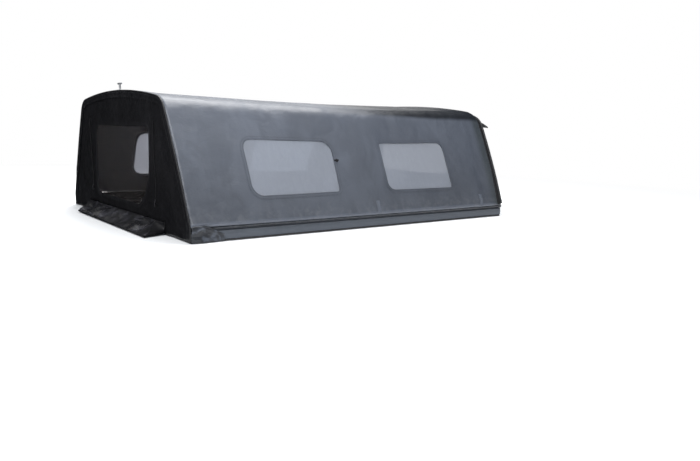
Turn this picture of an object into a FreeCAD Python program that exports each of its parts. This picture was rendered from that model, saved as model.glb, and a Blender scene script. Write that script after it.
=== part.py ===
"""Soft canopy for the load bed of a small pickup truck.

A vinyl cover with clear windows is stretched over four bent steel bows.
The bows stand on aluminium rails that lie on rubber seals along the top of the bed.
Millimetres, +X to the right, +Y towards the cab, +Z up.
The origin is on the plane of the bed rails, in the middle of the canopy.
"""
import FreeCAD, Part
import math
import os

from FreeCAD import Placement, Rotation, Vector

# Driving sizes of the whole canopy

BASE_LENGTH = 1740.0
BASE_WIDTH = 1330.0
CROWN_HEIGHT = 550.0
END_REACH = 85.0

# Section of the cover: a leaning leg, a round shoulder and a low crown

FOOT_HEIGHT = 56.0
LEG_LEAN = 20.5
LEG_RADIUS = 4000.0
SHOULDER_RADIUS = 90.0
CROWN_RADIUS = 3000.0
SKIN = 2.0

# Where the bows stand, and how the crown rises and falls over them

FRONT_BOW_INSET = 170.0
MIDDLE_BOW_SHARE = 0.57
MIDDLE_DROP = 5.0
FRONT_RISE = 12.0

# The rear end leans back and the cab end leans forward and is rounder

REAR_TILT = 1.7
CAB_TILT = -2.3
CAB_RISE = 2.0
CAB_SHOULDER_RADIUS = 105.0

# Square steel tubes

BOW_SIZE = 25.0
PURLIN_SIZE = 20.0
PURLIN_CLEARANCE = 1.0
FIT_GAP = 0.3

# Aluminium rail and its rubber seal

SEAL_HEIGHT = 8.0
SEAL_WIDTH = 46.0
SEAL_INSET = 1.0
RAIL_WALL = 3.0
RAIL_FACE_TOP = 40.0
RAIL_UPSTAND_TOP = 58.0
RAIL_FLANGE = 70.0
BOLT_HOLE_DIAMETER = 9.0
BOLT_HOLE_INSET = 58.0
BOLT_SPACING = 1300.0

# Rope sewn in the lower hem of the cover

HEM_DIAMETER = 10.0
HEM_INSET = 1.5
HEM_TAIL = 12.0

# Side windows

WINDOW_WIDTH = 425.0
WINDOW_HEIGHT = 232.0
WINDOW_CORNER = 42.0
WINDOW_SILL = 106.0
REAR_WINDOW_SHARE = 0.55
FRONT_WINDOW_SHARE = 0.443

# Curtain at the rear and panel at the cab

END_WINDOW_WIDTH = 612.0
END_WINDOW_HEIGHT = 300.0
END_WINDOW_SILL = 102.0
END_WINDOW_CORNER = 45.0
CAB_WINDOW_WIDTH = 560.0
CAB_WINDOW_HEIGHT = 210.0
CAB_WINDOW_SILL = 190.0
CURTAIN_INSET = 1.0
CURTAIN_BOTTOM = 3.0
CAB_PANEL_BOTTOM = 12.0
BINDING_WIDTH = 30.0
APRON_WIDTH = 880.0
APRON_TOP = 92.0
APRON_HEM = 8.0
ZIP_SHARE = 0.4
ZIP_WIDTH = 14.0
ZIP_BOTTOM = 110.0
ZIP_TOP = 440.0

# Seal and rain flap between the canopy and the cab

CAB_SEAL_WIDTH = 14.0
CAB_SEAL_DEPTH = 12.0
CAB_SEAL_BOTTOM = 62.0
FLAP_INSET = 22.0
FLAP_THICKNESS = 3.0
FLAP_FALL = 14.0

# Feet of the bows

FOOT_PLATE = 4.0
FOOT_LENGTH = 44.0
FOOT_BAR = 8.0

# Vinyl folded round the rear end of each rail

TUCK_LENGTH = 112.0

# Latch at the cab end of each rail

LATCH_PLATE = 3.0
LATCH_BOLT_DIAMETER = 8.0
LATCH_BOLT_REACH = 22.0
LATCH_HEIGHT = 29.0
LATCH_INSET = 26.0
WING_SPAN = 30.0
WING_THICKNESS = 5.0

# Wing bolt on the crown of the rear bow

WING_BOLT_HEIGHT = 33.0
WING_BOLT_BAR = 36.0
WING_BOLT_DIAMETER = 8.0
WING_BOLT_WASHER = 26.0
WING_BOLT_WASHER_HEIGHT = 3.0

HALF_LENGTH = BASE_LENGTH / 2
HALF_WIDTH = BASE_WIDTH / 2
FRONT_BOW_PLACE = BASE_LENGTH - FRONT_BOW_INSET
MIDDLE_BOW_PLACE = FRONT_BOW_PLACE * MIDDLE_BOW_SHARE
REAR_WINDOW_PLACE = MIDDLE_BOW_PLACE * REAR_WINDOW_SHARE
FRONT_BAY = FRONT_BOW_PLACE - MIDDLE_BOW_PLACE
FRONT_WINDOW_PLACE = MIDDLE_BOW_PLACE + FRONT_BAY * FRONT_WINDOW_SHARE
BOW_INSET = SKIN + FIT_GAP
RAIL_BOTTOM = SEAL_HEIGHT
FLANGE_TOP = RAIL_BOTTOM + RAIL_WALL
HEM_RADIUS = HEM_DIAMETER / 2
UPSTAND_INSET = HEM_INSET + HEM_DIAMETER + FIT_GAP
HEM_HEIGHT = FOOT_HEIGHT - FIT_GAP - HEM_RADIUS
FOOT_TOP = RAIL_UPSTAND_TOP + FIT_GAP + FOOT_PLATE
PURLIN_INSET = BOW_INSET + PURLIN_CLEARANCE
FAR = 4000.0


class Station:
    """One cross-section of the cover, at a bow or at an end."""

    def __init__(self, place, tilt=0.0, crown=CROWN_HEIGHT, shoulder=SHOULDER_RADIUS):
        self.y = place - HALF_LENGTH
        self.tilt = tilt
        lean = math.radians(LEG_LEAN)
        self.leg_centre = Vector(
            HALF_WIDTH - LEG_RADIUS * math.cos(lean),
            0,
            FOOT_HEIGHT - LEG_RADIUS * math.sin(lean),
        )
        self.crown_centre = Vector(0, 0, crown - CROWN_RADIUS)
        self.shoulder = shoulder
        self.shoulder_centre = self.find_shoulder_centre()
        to_leg = (self.leg_top(0) - self.shoulder_centre).normalize()
        to_crown = (self.crown_edge(0) - self.shoulder_centre).normalize()
        self.shoulder_way = (to_leg + to_crown).normalize()

    def find_shoulder_centre(self):
        """The centre of the arc that touches both the leg and the crown."""
        to_leg = LEG_RADIUS - self.shoulder
        to_crown = CROWN_RADIUS - self.shoulder
        between = self.crown_centre - self.leg_centre
        span = between.Length
        along = (to_leg**2 - to_crown**2 + span**2) / (2 * span)
        aside = math.sqrt(to_leg**2 - along**2)
        unit = between / span
        across = Vector(-unit.z, 0, unit.x)
        choices = [self.leg_centre + unit * along + across * side * aside for side in (1, -1)]
        return max(choices, key=lambda centre: centre.z)

    def foot(self, inward, height=FOOT_HEIGHT):
        """The point of the leg at a height, on the curve a distance inside the cover."""
        radius = LEG_RADIUS - inward
        rise = height - self.leg_centre.z
        return Vector(self.leg_centre.x + math.sqrt(radius**2 - rise**2), 0, height)

    def leg_top(self, inward):
        way = (self.shoulder_centre - self.leg_centre).normalize()
        return self.leg_centre + way * (LEG_RADIUS - inward)

    def crown_edge(self, inward):
        way = (self.shoulder_centre - self.crown_centre).normalize()
        return self.crown_centre + way * (CROWN_RADIUS - inward)

    def crown_top(self, inward):
        return self.crown_centre + Vector(0, 0, CROWN_RADIUS - inward)

    def leg_arc(self, inward, height=FOOT_HEIGHT):
        low = self.foot(inward, height)
        high = self.leg_top(inward)
        return arc_about(self.leg_centre, LEG_RADIUS - inward, low, high)

    def shoulder_arc(self, inward):
        low = self.leg_top(inward)
        high = self.crown_edge(inward)
        return arc_about(self.shoulder_centre, self.shoulder - inward, low, high)

    def crown_arc(self, inward):
        right = self.crown_edge(inward)
        return Part.Arc(right, self.crown_top(inward), mirrored(right)).toShape()

    def shoulder_point(self, inward):
        """The middle of the shoulder, where a purlin runs."""
        return self.shoulder_centre + self.shoulder_way * (self.shoulder - inward)

    def upper_shoulder_arc(self, inward):
        low = self.shoulder_point(inward)
        high = self.crown_edge(inward)
        return arc_about(self.shoulder_centre, self.shoulder - inward, low, high)

    def placed(self, shape, forward=0.0):
        """A shape drawn in the plane y = 0, set at this station and tilted with it."""
        shape = shape.copy()
        shape.translate(Vector(0, forward, 0))
        shape.rotate(Vector(0, 0, 0), Vector(1, 0, 0), self.tilt)
        shape.translate(Vector(0, self.y, 0))
        return shape

    def placed_point(self, point, forward=0.0):
        turned = Rotation(Vector(1, 0, 0), self.tilt).multVec(point + Vector(0, forward, 0))
        return turned + Vector(0, self.y, 0)


def mirrored(point):
    return Vector(-point.x, point.y, point.z)


def arc_about(centre, radius, start, end):
    middle = centre + ((start - centre) + (end - centre)).normalize() * radius
    return Part.Arc(start, middle, end).toShape()


def line(start, end):
    return Part.makeLine(start, end)


def flip(edge):
    """The same edge on the left side of the canopy."""
    return edge.mirror(Vector(0, 0, 0), Vector(1, 0, 0))


def left_of(shape):
    """A right-hand piece mirrored to the left side."""
    return shape.mirror(Vector(0, 0, 0), Vector(1, 0, 0))


def wire(edges):
    return Part.Wire(Part.__sortEdges__(edges))


def box(x_range, y_range, z_range):
    low = Vector(min(x_range), min(y_range), min(z_range))
    high = Vector(max(x_range), max(y_range), max(z_range))
    size = high - low
    return Part.makeBox(size.x, size.y, size.z, low)


def cylinder(start, end, diameter):
    way = end - start
    return Part.makeCylinder(diameter / 2, way.Length, start, way)


def polygon_prism(points, way):
    """A prism on a closed outline of points."""
    outline = Part.makePolygon(points + [points[0]])
    return Part.Face(outline).extrude(way)


def rounded_prism(width, height, corner, depth):
    """A rounded rectangle in the plane z = 0, centred, made into a prism both ways."""
    plate = Part.makeBox(width, height, depth, Vector(-width / 2, -height / 2, -depth / 2))
    upright = [e for e in plate.Edges if abs(e.Vertexes[0].Point.z - e.Vertexes[1].Point.z) > 1]
    return plate.makeFillet(corner, upright)


REAR = Station(0.0, REAR_TILT)
MIDDLE = Station(MIDDLE_BOW_PLACE, crown=CROWN_HEIGHT - MIDDLE_DROP)
FRONT = Station(FRONT_BOW_PLACE, crown=CROWN_HEIGHT + FRONT_RISE)
CAB = Station(BASE_LENGTH, CAB_TILT, CROWN_HEIGHT + CAB_RISE, CAB_SHOULDER_RADIUS)
REAR_BOW_SHIFT = BOW_SIZE / 2
CAB_BOW_SHIFT = -BOW_SIZE / 2
BOWS = [
    ("rear_bow", REAR, REAR_BOW_SHIFT),
    ("middle_bow", MIDDLE, 0.0),
    ("front_bow", FRONT, 0.0),
    ("cab_bow", CAB, CAB_BOW_SHIFT),
]


# Cover

def side_section(station):
    outer = station.leg_arc(0)
    inner = station.leg_arc(SKIN)
    foot = line(station.foot(0), station.foot(SKIN))
    top = line(station.leg_top(0), station.leg_top(SKIN))
    return wire([outer, top, inner, foot])


def roof_section(station):
    edges = []
    for inward in (0, SKIN):
        shoulder = station.shoulder_arc(inward)
        edges += [shoulder, station.crown_arc(inward), flip(shoulder)]
    seam = line(station.leg_top(0), station.leg_top(SKIN))
    return wire(edges + [seam, flip(seam)])


def stretched(section_of):
    """A skin that lies flat on each bow and runs straight from bow to bow."""
    sections = []
    for _, station, shift in BOWS:
        for side in (-1, 1):
            forward = shift + side * BOW_SIZE / 2
            sections.append(station.placed(section_of(station), forward))
    return Part.makeLoft(sections, True, True)


def window_cutter(place, smaller=0.0):
    """A prism square to the leaning side, for a window or, a little smaller, its pane."""
    middle_of_leg = WINDOW_SILL + WINDOW_HEIGHT / 2
    turn = math.radians(LEG_LEAN) + middle_of_leg / LEG_RADIUS
    outward = Vector(math.cos(turn), 0, math.sin(turn))
    centre = MIDDLE.leg_centre + outward * LEG_RADIUS
    along = Vector(0, 1, 0)
    upward = outward.cross(along)
    prism = rounded_prism(
        WINDOW_WIDTH - 2 * smaller, WINDOW_HEIGHT - 2 * smaller, WINDOW_CORNER - smaller, 40
    )
    centre = centre + along * (place - HALF_LENGTH)
    prism.Placement = Placement(centre, Rotation(along, upward, outward, "ZXY"))
    return prism


def side_pieces():
    whole = stretched(side_section)
    skin = whole
    panes = []
    for place in (REAR_WINDOW_PLACE, FRONT_WINDOW_PLACE):
        skin = skin.cut(window_cutter(place))
        panes.append(whole.common(window_cutter(place, FIT_GAP)))
    return skin, panes


def hem_rope():
    start = Vector(HALF_WIDTH - HEM_INSET - HEM_RADIUS, -HALF_LENGTH, HEM_HEIGHT)
    return cylinder(start, start + Vector(0, BASE_LENGTH + HEM_TAIL, 0), HEM_DIAMETER)


# Ends

def end_face(station, inward, bottom):
    """The outline of an end of the canopy, a distance inside the cover."""
    start = station.foot(inward, max(bottom, FOOT_HEIGHT))
    low = Vector(start.x, 0, bottom)
    right = [station.leg_arc(inward, start.z), station.shoulder_arc(inward)]
    if bottom < FOOT_HEIGHT:
        right.append(line(low, start))
    left = [flip(edge) for edge in right]
    return Part.Face(wire([line(mirrored(low), low), station.crown_arc(inward)] + right + left))


def end_window(width, height, corner, sill, smaller=0.0):
    prism = rounded_prism(width - 2 * smaller, height - 2 * smaller, corner - smaller, 60)
    prism.rotate(Vector(0, 0, 0), Vector(1, 0, 0), 90)
    prism.translate(Vector(0, 0, sill + height / 2))
    return prism


def rear_curtain():
    sheet = end_face(REAR, CURTAIN_INSET, CURTAIN_BOTTOM).extrude(Vector(0, SKIN, 0))
    opening = end_window(END_WINDOW_WIDTH, END_WINDOW_HEIGHT, END_WINDOW_CORNER, END_WINDOW_SILL)
    half_gap = APRON_WIDTH / 2
    below = box((-half_gap, half_gap), (-FAR, FAR), (-FAR, APRON_TOP))
    curtain = sheet.cut(opening).cut(below)
    pane = end_window(
        END_WINDOW_WIDTH, END_WINDOW_HEIGHT, END_WINDOW_CORNER, END_WINDOW_SILL, FIT_GAP
    ).common(sheet)
    back = -FIT_GAP - SKIN
    return REAR.placed(curtain, back), REAR.placed(pane, back)


def rear_binding():
    """The band round the rear edge of the cover that the curtain is sewn under."""
    outer = end_face(REAR, 0, CURTAIN_BOTTOM)
    inner = end_face(REAR, BINDING_WIDTH, CURTAIN_BOTTOM - 1)
    band = outer.cut(inner).extrude(Vector(0, SKIN, 0))
    return REAR.placed(band, -2 * FIT_GAP - 2 * SKIN)


def rear_apron():
    """The lower part of the curtain, pulled out over the top of the tailgate."""
    half = APRON_WIDTH / 2
    top = REAR.placed_point(Vector(0, 0, APRON_TOP - FIT_GAP), -FIT_GAP)
    inner_top = Vector(-half, top.y, top.z)
    outer_top = inner_top - Vector(0, SKIN, 0)
    hem_centre = Vector(-half, -HALF_LENGTH - END_REACH + APRON_HEM / 2, APRON_HEM / 2)
    hem_inner = hem_centre + Vector(0, SKIN, 0)
    width = Vector(APRON_WIDTH, 0, 0)
    sheet = polygon_prism([inner_top, outer_top, hem_centre, hem_inner], width)
    hem = cylinder(hem_centre, hem_centre + width, APRON_HEM)
    cheek_foot = Vector(-half, inner_top.y, hem_centre.z)
    cheek = polygon_prism([inner_top, hem_centre, cheek_foot], Vector(SKIN, 0, 0))
    return sheet.fuse([hem, cheek, left_of(cheek)]).removeSplitter()


def zip_strip():
    """An upright zip between the window and the binding."""
    window_edge = END_WINDOW_WIDTH / 2
    free = REAR.foot(BINDING_WIDTH, ZIP_TOP).x - window_edge
    place = window_edge + free * ZIP_SHARE
    half = ZIP_WIDTH / 2
    strip = box((place - half, place + half), (0, SKIN), (ZIP_BOTTOM, ZIP_TOP))
    return REAR.placed(strip, -2 * FIT_GAP - 2 * SKIN)


def front_panel():
    sheet = end_face(CAB, CURTAIN_INSET, CAB_PANEL_BOTTOM).extrude(Vector(0, SKIN, 0))
    half = HALF_WIDTH - RAIL_FLANGE - FIT_GAP
    for side in (half, -half):
        corner = box((side, math.copysign(FAR, side)), (-FAR, FAR), (-FAR, FOOT_HEIGHT))
        sheet = sheet.cut(corner)
    sizes = (CAB_WINDOW_WIDTH, CAB_WINDOW_HEIGHT, WINDOW_CORNER, CAB_WINDOW_SILL)
    panel = sheet.cut(end_window(*sizes))
    pane = sheet.common(end_window(*sizes, FIT_GAP))
    return CAB.placed(panel, FIT_GAP), CAB.placed(pane, FIT_GAP)


def cab_seal():
    outer = end_face(CAB, CURTAIN_INSET, CAB_SEAL_BOTTOM)
    inner = end_face(CAB, CURTAIN_INSET + CAB_SEAL_WIDTH, CAB_SEAL_BOTTOM - 1)
    band = outer.cut(inner).extrude(Vector(0, CAB_SEAL_DEPTH, 0))
    return CAB.placed(band, 2 * FIT_GAP + SKIN)


def cab_roof_flap():
    """A rain flap that bridges the gap to the rear edge of the cab roof."""
    edges = []
    for inward in (FLAP_INSET, FLAP_INSET + FLAP_THICKNESS):
        shoulder = CAB.upper_shoulder_arc(inward)
        edges += [shoulder, CAB.crown_arc(inward), flip(shoulder)]
    side = line(CAB.shoulder_point(FLAP_INSET), CAB.shoulder_point(FLAP_INSET + FLAP_THICKNESS))
    section = wire(edges + [side, flip(side)])
    root = CAB.placed(section, 2 * FIT_GAP + SKIN)
    tip = section.copy()
    tip.translate(Vector(0, HALF_LENGTH + END_REACH, -FLAP_FALL))
    return Part.makeLoft([root, tip], True, True)


# Frame

def bow(station, forward):
    """A bent square tube under the cover, cut level where it stands on its feet."""
    outer = end_face(station, BOW_INSET, FOOT_TOP)
    inner = end_face(station, BOW_INSET + BOW_SIZE, FOOT_TOP - 1)
    tube = outer.cut(inner).extrude(Vector(0, BOW_SIZE, 0))
    return station.placed(tube, forward - BOW_SIZE / 2)


def purlin_section(station, outer_point, outward, forward):
    """The square outline of a purlin whose outer side faces outward."""
    across = Vector(outward.z, 0, -outward.x) * (PURLIN_SIZE / 2)
    inward = outward * -PURLIN_SIZE
    corners = [outer_point + across, outer_point - across]
    corners += [corners[1] + inward, corners[0] + inward]
    return station.placed(Part.makePolygon(corners + corners[:1]), forward)


def purlins(point_of, outward_of):
    """Square tubes from bow to bow through one point of each section."""
    pieces = []
    clear = BOW_SIZE / 2 + FIT_GAP
    for (_, rear, rear_shift), (_, front, front_shift) in zip(BOWS, BOWS[1:]):
        start = purlin_section(rear, point_of(rear), outward_of(rear), rear_shift + clear)
        end = purlin_section(front, point_of(front), outward_of(front), front_shift - clear)
        pieces.append(Part.makeLoft([start, end], True, True))
    return Part.makeCompound(pieces)


def ridge_purlin():
    return purlins(lambda station: station.crown_top(BOW_INSET), lambda station: Vector(0, 0, 1))


def shoulder_purlin():
    return purlins(
        lambda station: station.shoulder_point(PURLIN_INSET), lambda station: station.shoulder_way
    )


def bow_feet():
    """Brackets that carry the right-hand ends of the bows on the rail."""
    feet = []
    bar_start = HALF_WIDTH - UPSTAND_INSET - RAIL_WALL
    plate_inset = RAIL_WALL + HEM_INSET
    for _, station, shift in BOWS:
        tube_foot = station.placed_point(station.foot(BOW_INSET + BOW_SIZE, FOOT_TOP), shift)
        y_range = (tube_foot.y - FOOT_LENGTH / 2, tube_foot.y + FOOT_LENGTH / 2)
        y_range = (max(y_range[0], -HALF_LENGTH), min(y_range[1], HALF_LENGTH))
        inner = tube_foot.x - FOOT_PLATE
        top = box((HALF_WIDTH - plate_inset, inner), y_range, (FOOT_TOP - FOOT_PLATE, FOOT_TOP))
        bar = box((bar_start, bar_start - FOOT_BAR), y_range, (FLANGE_TOP, FOOT_TOP))
        base = box((bar_start, inner), y_range, (FLANGE_TOP, FLANGE_TOP + FOOT_PLATE))
        feet.append(top.fuse([bar, base]).removeSplitter())
    return Part.makeCompound(feet)


# Rails

def rail_section(inset_to_point):
    """The outline of a rail, as points set by their inset from the outer face and height."""
    inner_step = UPSTAND_INSET + RAIL_WALL
    outline = [
        (0, RAIL_BOTTOM),
        (0, RAIL_FACE_TOP),
        (UPSTAND_INSET, RAIL_FACE_TOP),
        (UPSTAND_INSET, RAIL_UPSTAND_TOP),
        (inner_step, RAIL_UPSTAND_TOP),
        (inner_step, RAIL_FACE_TOP - RAIL_WALL),
        (RAIL_WALL, RAIL_FACE_TOP - RAIL_WALL),
        (RAIL_WALL, FLANGE_TOP),
        (RAIL_FLANGE, FLANGE_TOP),
        (RAIL_FLANGE, RAIL_BOTTOM),
    ]
    return [inset_to_point(inset, height) for inset, height in outline]


def base_rail():
    def at_rear(inset, height):
        return Vector(HALF_WIDTH - inset, -HALF_LENGTH, height)

    rail = polygon_prism(rail_section(at_rear), Vector(0, BASE_LENGTH, 0))
    for place in (-BOLT_SPACING / 2, BOLT_SPACING / 2):
        hole_foot = Vector(HALF_WIDTH - BOLT_HOLE_INSET, place, 0)
        rail = rail.cut(cylinder(hole_foot, hole_foot + Vector(0, 0, FLANGE_TOP + 1), BOLT_HOLE_DIAMETER))
    return rail


def front_rail():
    half = HALF_WIDTH - RAIL_FLANGE - FIT_GAP

    def at_left(inset, height):
        return Vector(-half, HALF_LENGTH - inset, height)

    return polygon_prism(rail_section(at_left), Vector(2 * half, 0, 0))


def side_seal():
    outer = HALF_WIDTH - SEAL_INSET
    return box((outer, outer - SEAL_WIDTH), (-HALF_LENGTH, HALF_LENGTH), (0, SEAL_HEIGHT))


def front_seal():
    half = HALF_WIDTH - SEAL_INSET - SEAL_WIDTH - FIT_GAP
    outer = HALF_LENGTH - SEAL_INSET
    return box((-half, half), (outer, outer - SEAL_WIDTH), (0, SEAL_HEIGHT))


def rear_tuck():
    """The cover folded down over the rear end of the rail."""
    x_range = (HALF_WIDTH, HALF_WIDTH + SKIN)
    return box(x_range, (-HALF_LENGTH, -HALF_LENGTH + TUCK_LENGTH), (0, FOOT_HEIGHT - SKIN))


def front_latch():
    """End plate of the rail with the bolt and wing nut that draw the cover tight."""
    y_plate = HALF_LENGTH + LATCH_PLATE
    plate = box(
        (HALF_WIDTH, HALF_WIDTH - RAIL_FLANGE),
        (HALF_LENGTH, y_plate),
        (RAIL_BOTTOM, HEM_HEIGHT - HEM_RADIUS - FIT_GAP),
    )
    root = Vector(HALF_WIDTH - LATCH_INSET, y_plate, LATCH_HEIGHT)
    bolt = cylinder(root, root + Vector(0, LATCH_BOLT_REACH, 0), LATCH_BOLT_DIAMETER)
    hub = cylinder(root, root + Vector(0, LATCH_BOLT_REACH / 2, 0), 2 * LATCH_BOLT_DIAMETER)
    wing = box(
        (root.x - WING_SPAN / 2, root.x + WING_SPAN / 2),
        (y_plate, y_plate + LATCH_BOLT_REACH / 2),
        (LATCH_HEIGHT - WING_THICKNESS / 2, LATCH_HEIGHT + WING_THICKNESS / 2),
    )
    return plate.fuse([bolt, hub, wing]).removeSplitter()


def crown_wing_bolt():
    """T-headed bolt that clamps the cover on the crown of the rear bow."""
    washer_top = Vector(0, 0, CROWN_HEIGHT + FIT_GAP + WING_BOLT_WASHER_HEIGHT)
    head = Vector(0, 0, CROWN_HEIGHT + WING_BOLT_HEIGHT - WING_BOLT_DIAMETER / 2)
    washer_foot = washer_top - Vector(0, 0, WING_BOLT_WASHER_HEIGHT)
    reach = Vector(WING_BOLT_BAR / 2, 0, 0)
    washer = cylinder(washer_foot, washer_top, WING_BOLT_WASHER)
    stem = cylinder(washer_foot, head, WING_BOLT_DIAMETER)
    bar = cylinder(head - reach, head + reach, WING_BOLT_DIAMETER)
    return REAR.placed(washer.fuse([stem, bar]).removeSplitter(), REAR_BOW_SHIFT)


def build():
    """Every piece of the canopy by name."""
    pieces = {name: bow(station, shift) for name, station, shift in BOWS}
    pieces["ridge_purlin"] = ridge_purlin()
    right_and_left = {
        "shoulder_purlin": shoulder_purlin(),
        "bow_feet": bow_feet(),
        "base_rail": base_rail(),
        "rail_seal": side_seal(),
        "hem_rope": hem_rope(),
        "zip": zip_strip(),
        "rear_tuck": rear_tuck(),
        "front_latch": front_latch(),
    }
    skin, panes = side_pieces()
    right_and_left["side_cover"] = skin
    right_and_left["rear_side_window"], right_and_left["front_side_window"] = panes
    for name, shape in right_and_left.items():
        pieces["right_" + name] = shape
        pieces["left_" + name] = left_of(shape)
    pieces["front_base_rail"] = front_rail()
    pieces["front_rail_seal"] = front_seal()
    pieces["roof_cover"] = stretched(roof_section)
    pieces["rear_curtain"], pieces["rear_window"] = rear_curtain()
    pieces["rear_binding"] = rear_binding()
    pieces["rear_apron"] = rear_apron()
    pieces["front_panel"], pieces["cab_window"] = front_panel()
    pieces["cab_seal"] = cab_seal()
    pieces["cab_roof_flap"] = cab_roof_flap()
    pieces["crown_wing_bolt"] = crown_wing_bolt()
    return pieces


def main():
    os.makedirs("parts", exist_ok=True)
    for name, shape in build().items():
        shape.exportStep(os.path.join("parts", name + ".step"))
        valid = all(solid.isValid() for solid in shape.Solids)
        print(name, "solids", len(shape.Solids), "valid", valid, "volume", round(shape.Volume))


if __name__ == "__main__":
    main()
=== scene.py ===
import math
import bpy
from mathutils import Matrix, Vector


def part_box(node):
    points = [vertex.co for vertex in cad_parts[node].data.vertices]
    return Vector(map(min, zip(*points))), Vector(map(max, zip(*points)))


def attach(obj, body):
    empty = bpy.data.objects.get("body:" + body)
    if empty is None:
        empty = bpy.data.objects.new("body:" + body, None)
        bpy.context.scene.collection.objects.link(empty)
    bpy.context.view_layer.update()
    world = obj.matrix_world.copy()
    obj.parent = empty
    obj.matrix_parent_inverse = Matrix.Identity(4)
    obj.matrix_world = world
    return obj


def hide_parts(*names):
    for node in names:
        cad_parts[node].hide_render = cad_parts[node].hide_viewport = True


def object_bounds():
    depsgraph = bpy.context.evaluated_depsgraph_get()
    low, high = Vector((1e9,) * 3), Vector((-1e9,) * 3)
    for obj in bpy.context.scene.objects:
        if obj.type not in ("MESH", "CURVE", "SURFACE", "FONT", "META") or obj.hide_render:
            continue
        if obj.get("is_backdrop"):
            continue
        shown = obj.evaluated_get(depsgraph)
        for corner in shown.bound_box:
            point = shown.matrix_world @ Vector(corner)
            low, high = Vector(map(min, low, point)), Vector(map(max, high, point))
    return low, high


bl_info = {
    "name": "Soft Pickup Canopy",
    "version": (1, 0, 0),
    "blender": (4, 5, 0),
    "location": "3D View > Sidebar > Canopy",
    "description": "Dresses a soft canopy for a pickup bed with its cloth, windows, bows and rails",
    "category": "Object",
}

import bpy
from bpy.props import FloatProperty, FloatVectorProperty, IntProperty, PointerProperty
from mathutils import Matrix, Vector, noise

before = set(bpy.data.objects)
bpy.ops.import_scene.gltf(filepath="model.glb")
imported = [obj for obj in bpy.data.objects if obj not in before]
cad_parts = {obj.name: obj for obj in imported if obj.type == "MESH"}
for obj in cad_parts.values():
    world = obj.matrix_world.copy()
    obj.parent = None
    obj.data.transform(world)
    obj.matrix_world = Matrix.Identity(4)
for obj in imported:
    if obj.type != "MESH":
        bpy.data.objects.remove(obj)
CAD_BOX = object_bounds()

# Section of the cover, as in the part's source, in metres

HALF_LENGTH = 0.870
HALF_WIDTH = 0.665
FOOT_HEIGHT = 0.056
LEG_RADIUS = 4.0
CROWN_RADIUS = 3.0
LEG_LEAN = math.radians(20.5)
BOW_HALF = 0.0125

# How far the cloth of the two ends stands out from the planes of the end bows

CURTAIN_BACK = 0.0028
ZIP_BACK = 0.0030
WELT_BACK = 0.0036
BINDING_BACK = 0.0048
REAR_PANE_BACK = 0.0007
PANEL_FRONT = 0.0023
CAB_PANE_FRONT = 0.0003
END_CLOTH = 0.0018


class Hoop:
    """The outline of the cover over one bow: leg, shoulder and half of the crown."""

    def __init__(self, place, tilt, crown, shoulder, shift):
        self.place = place
        self.tilt = math.radians(tilt)
        self.shift = shift
        lean = Vector((math.cos(LEG_LEAN), math.sin(LEG_LEAN)))
        self.leg = Vector((HALF_WIDTH, FOOT_HEIGHT)) - LEG_RADIUS * lean
        self.crown = Vector((0.0, crown - CROWN_RADIUS))
        self.radius = shoulder
        reach_leg = LEG_RADIUS - shoulder
        reach_crown = CROWN_RADIUS - shoulder
        between = self.crown - self.leg
        span = between.length
        along = (reach_leg**2 - reach_crown**2 + span**2) / (2 * span)
        aside = math.sqrt(reach_leg**2 - along**2)
        unit = between / span
        across = Vector((-unit.y, unit.x))
        choices = [self.leg + unit * along + across * side * aside for side in (1, -1)]
        self.shoulder = max(choices, key=lambda centre: centre.y)
        to_leg = self.shoulder - self.leg
        to_crown = self.shoulder - self.crown
        self.low = math.atan2(to_leg.y, to_leg.x)
        self.high = math.atan2(to_crown.y, to_crown.x)

    def lengths(self):
        """How long the leg, the shoulder and half of the crown are."""
        foot = math.asin((FOOT_HEIGHT - self.leg.y) / LEG_RADIUS)
        return (
            LEG_RADIUS * (self.low - foot),
            self.radius * (self.high - self.low),
            CROWN_RADIUS * (math.pi / 2 - self.high),
        )

    def flat(self, turn, inward=0.0):
        """The point at turn 0 to 3 on the right, or 3 to 6 on the left, across and up."""
        half = min(turn, 6 - turn)
        if half < 1:
            radius = LEG_RADIUS - inward
            foot = math.asin((FOOT_HEIGHT - self.leg.y) / radius)
            angle = foot + (self.low - foot) * half
            centre = self.leg
        elif half < 2:
            radius = self.radius - inward
            angle = self.low + (self.high - self.low) * (half - 1)
            centre = self.shoulder
        else:
            radius = CROWN_RADIUS - inward
            angle = self.high + (math.pi / 2 - self.high) * (half - 2)
            centre = self.crown
        across = centre.x + radius * math.cos(angle)
        up = centre.y + radius * math.sin(angle)
        return (across if turn <= 3 else -across), up

    def stand(self, across, up, forward=0.0):
        """A point of this hoop's own plane, set in the canopy and tilted with the hoop."""
        sine, cosine = math.sin(self.tilt), math.cos(self.tilt)
        along = self.place + forward * cosine - up * sine
        return Vector((across, along, forward * sine + up * cosine))

    def point(self, turn, inward, forward):
        across, up = self.flat(turn, inward)
        return self.stand(across, up, forward)


REAR = Hoop(-0.870, 1.7, 0.550, 0.090, BOW_HALF)
MIDDLE = Hoop(0.0249, 0.0, 0.545, 0.090, 0.0)
FRONT = Hoop(0.700, 0.0, 0.562, 0.090, 0.0)
CAB = Hoop(0.870, -2.3, 0.552, 0.105, -BOW_HALF)
HOOPS = (REAR, MIDDLE, FRONT, CAB)
ROWS = [(hoop, hoop.shift + side * BOW_HALF) for hoop in HOOPS for side in (-1, 1)]
ROW_PLACES = [hoop.place + forward for hoop, forward in ROWS]
LEG_GIRTH, SHOULDER_GIRTH, CROWN_GIRTH = MIDDLE.lengths()
HALF_GIRTH = LEG_GIRTH + SHOULDER_GIRTH + CROWN_GIRTH
GIRTH = 2 * HALF_GIRTH


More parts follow.
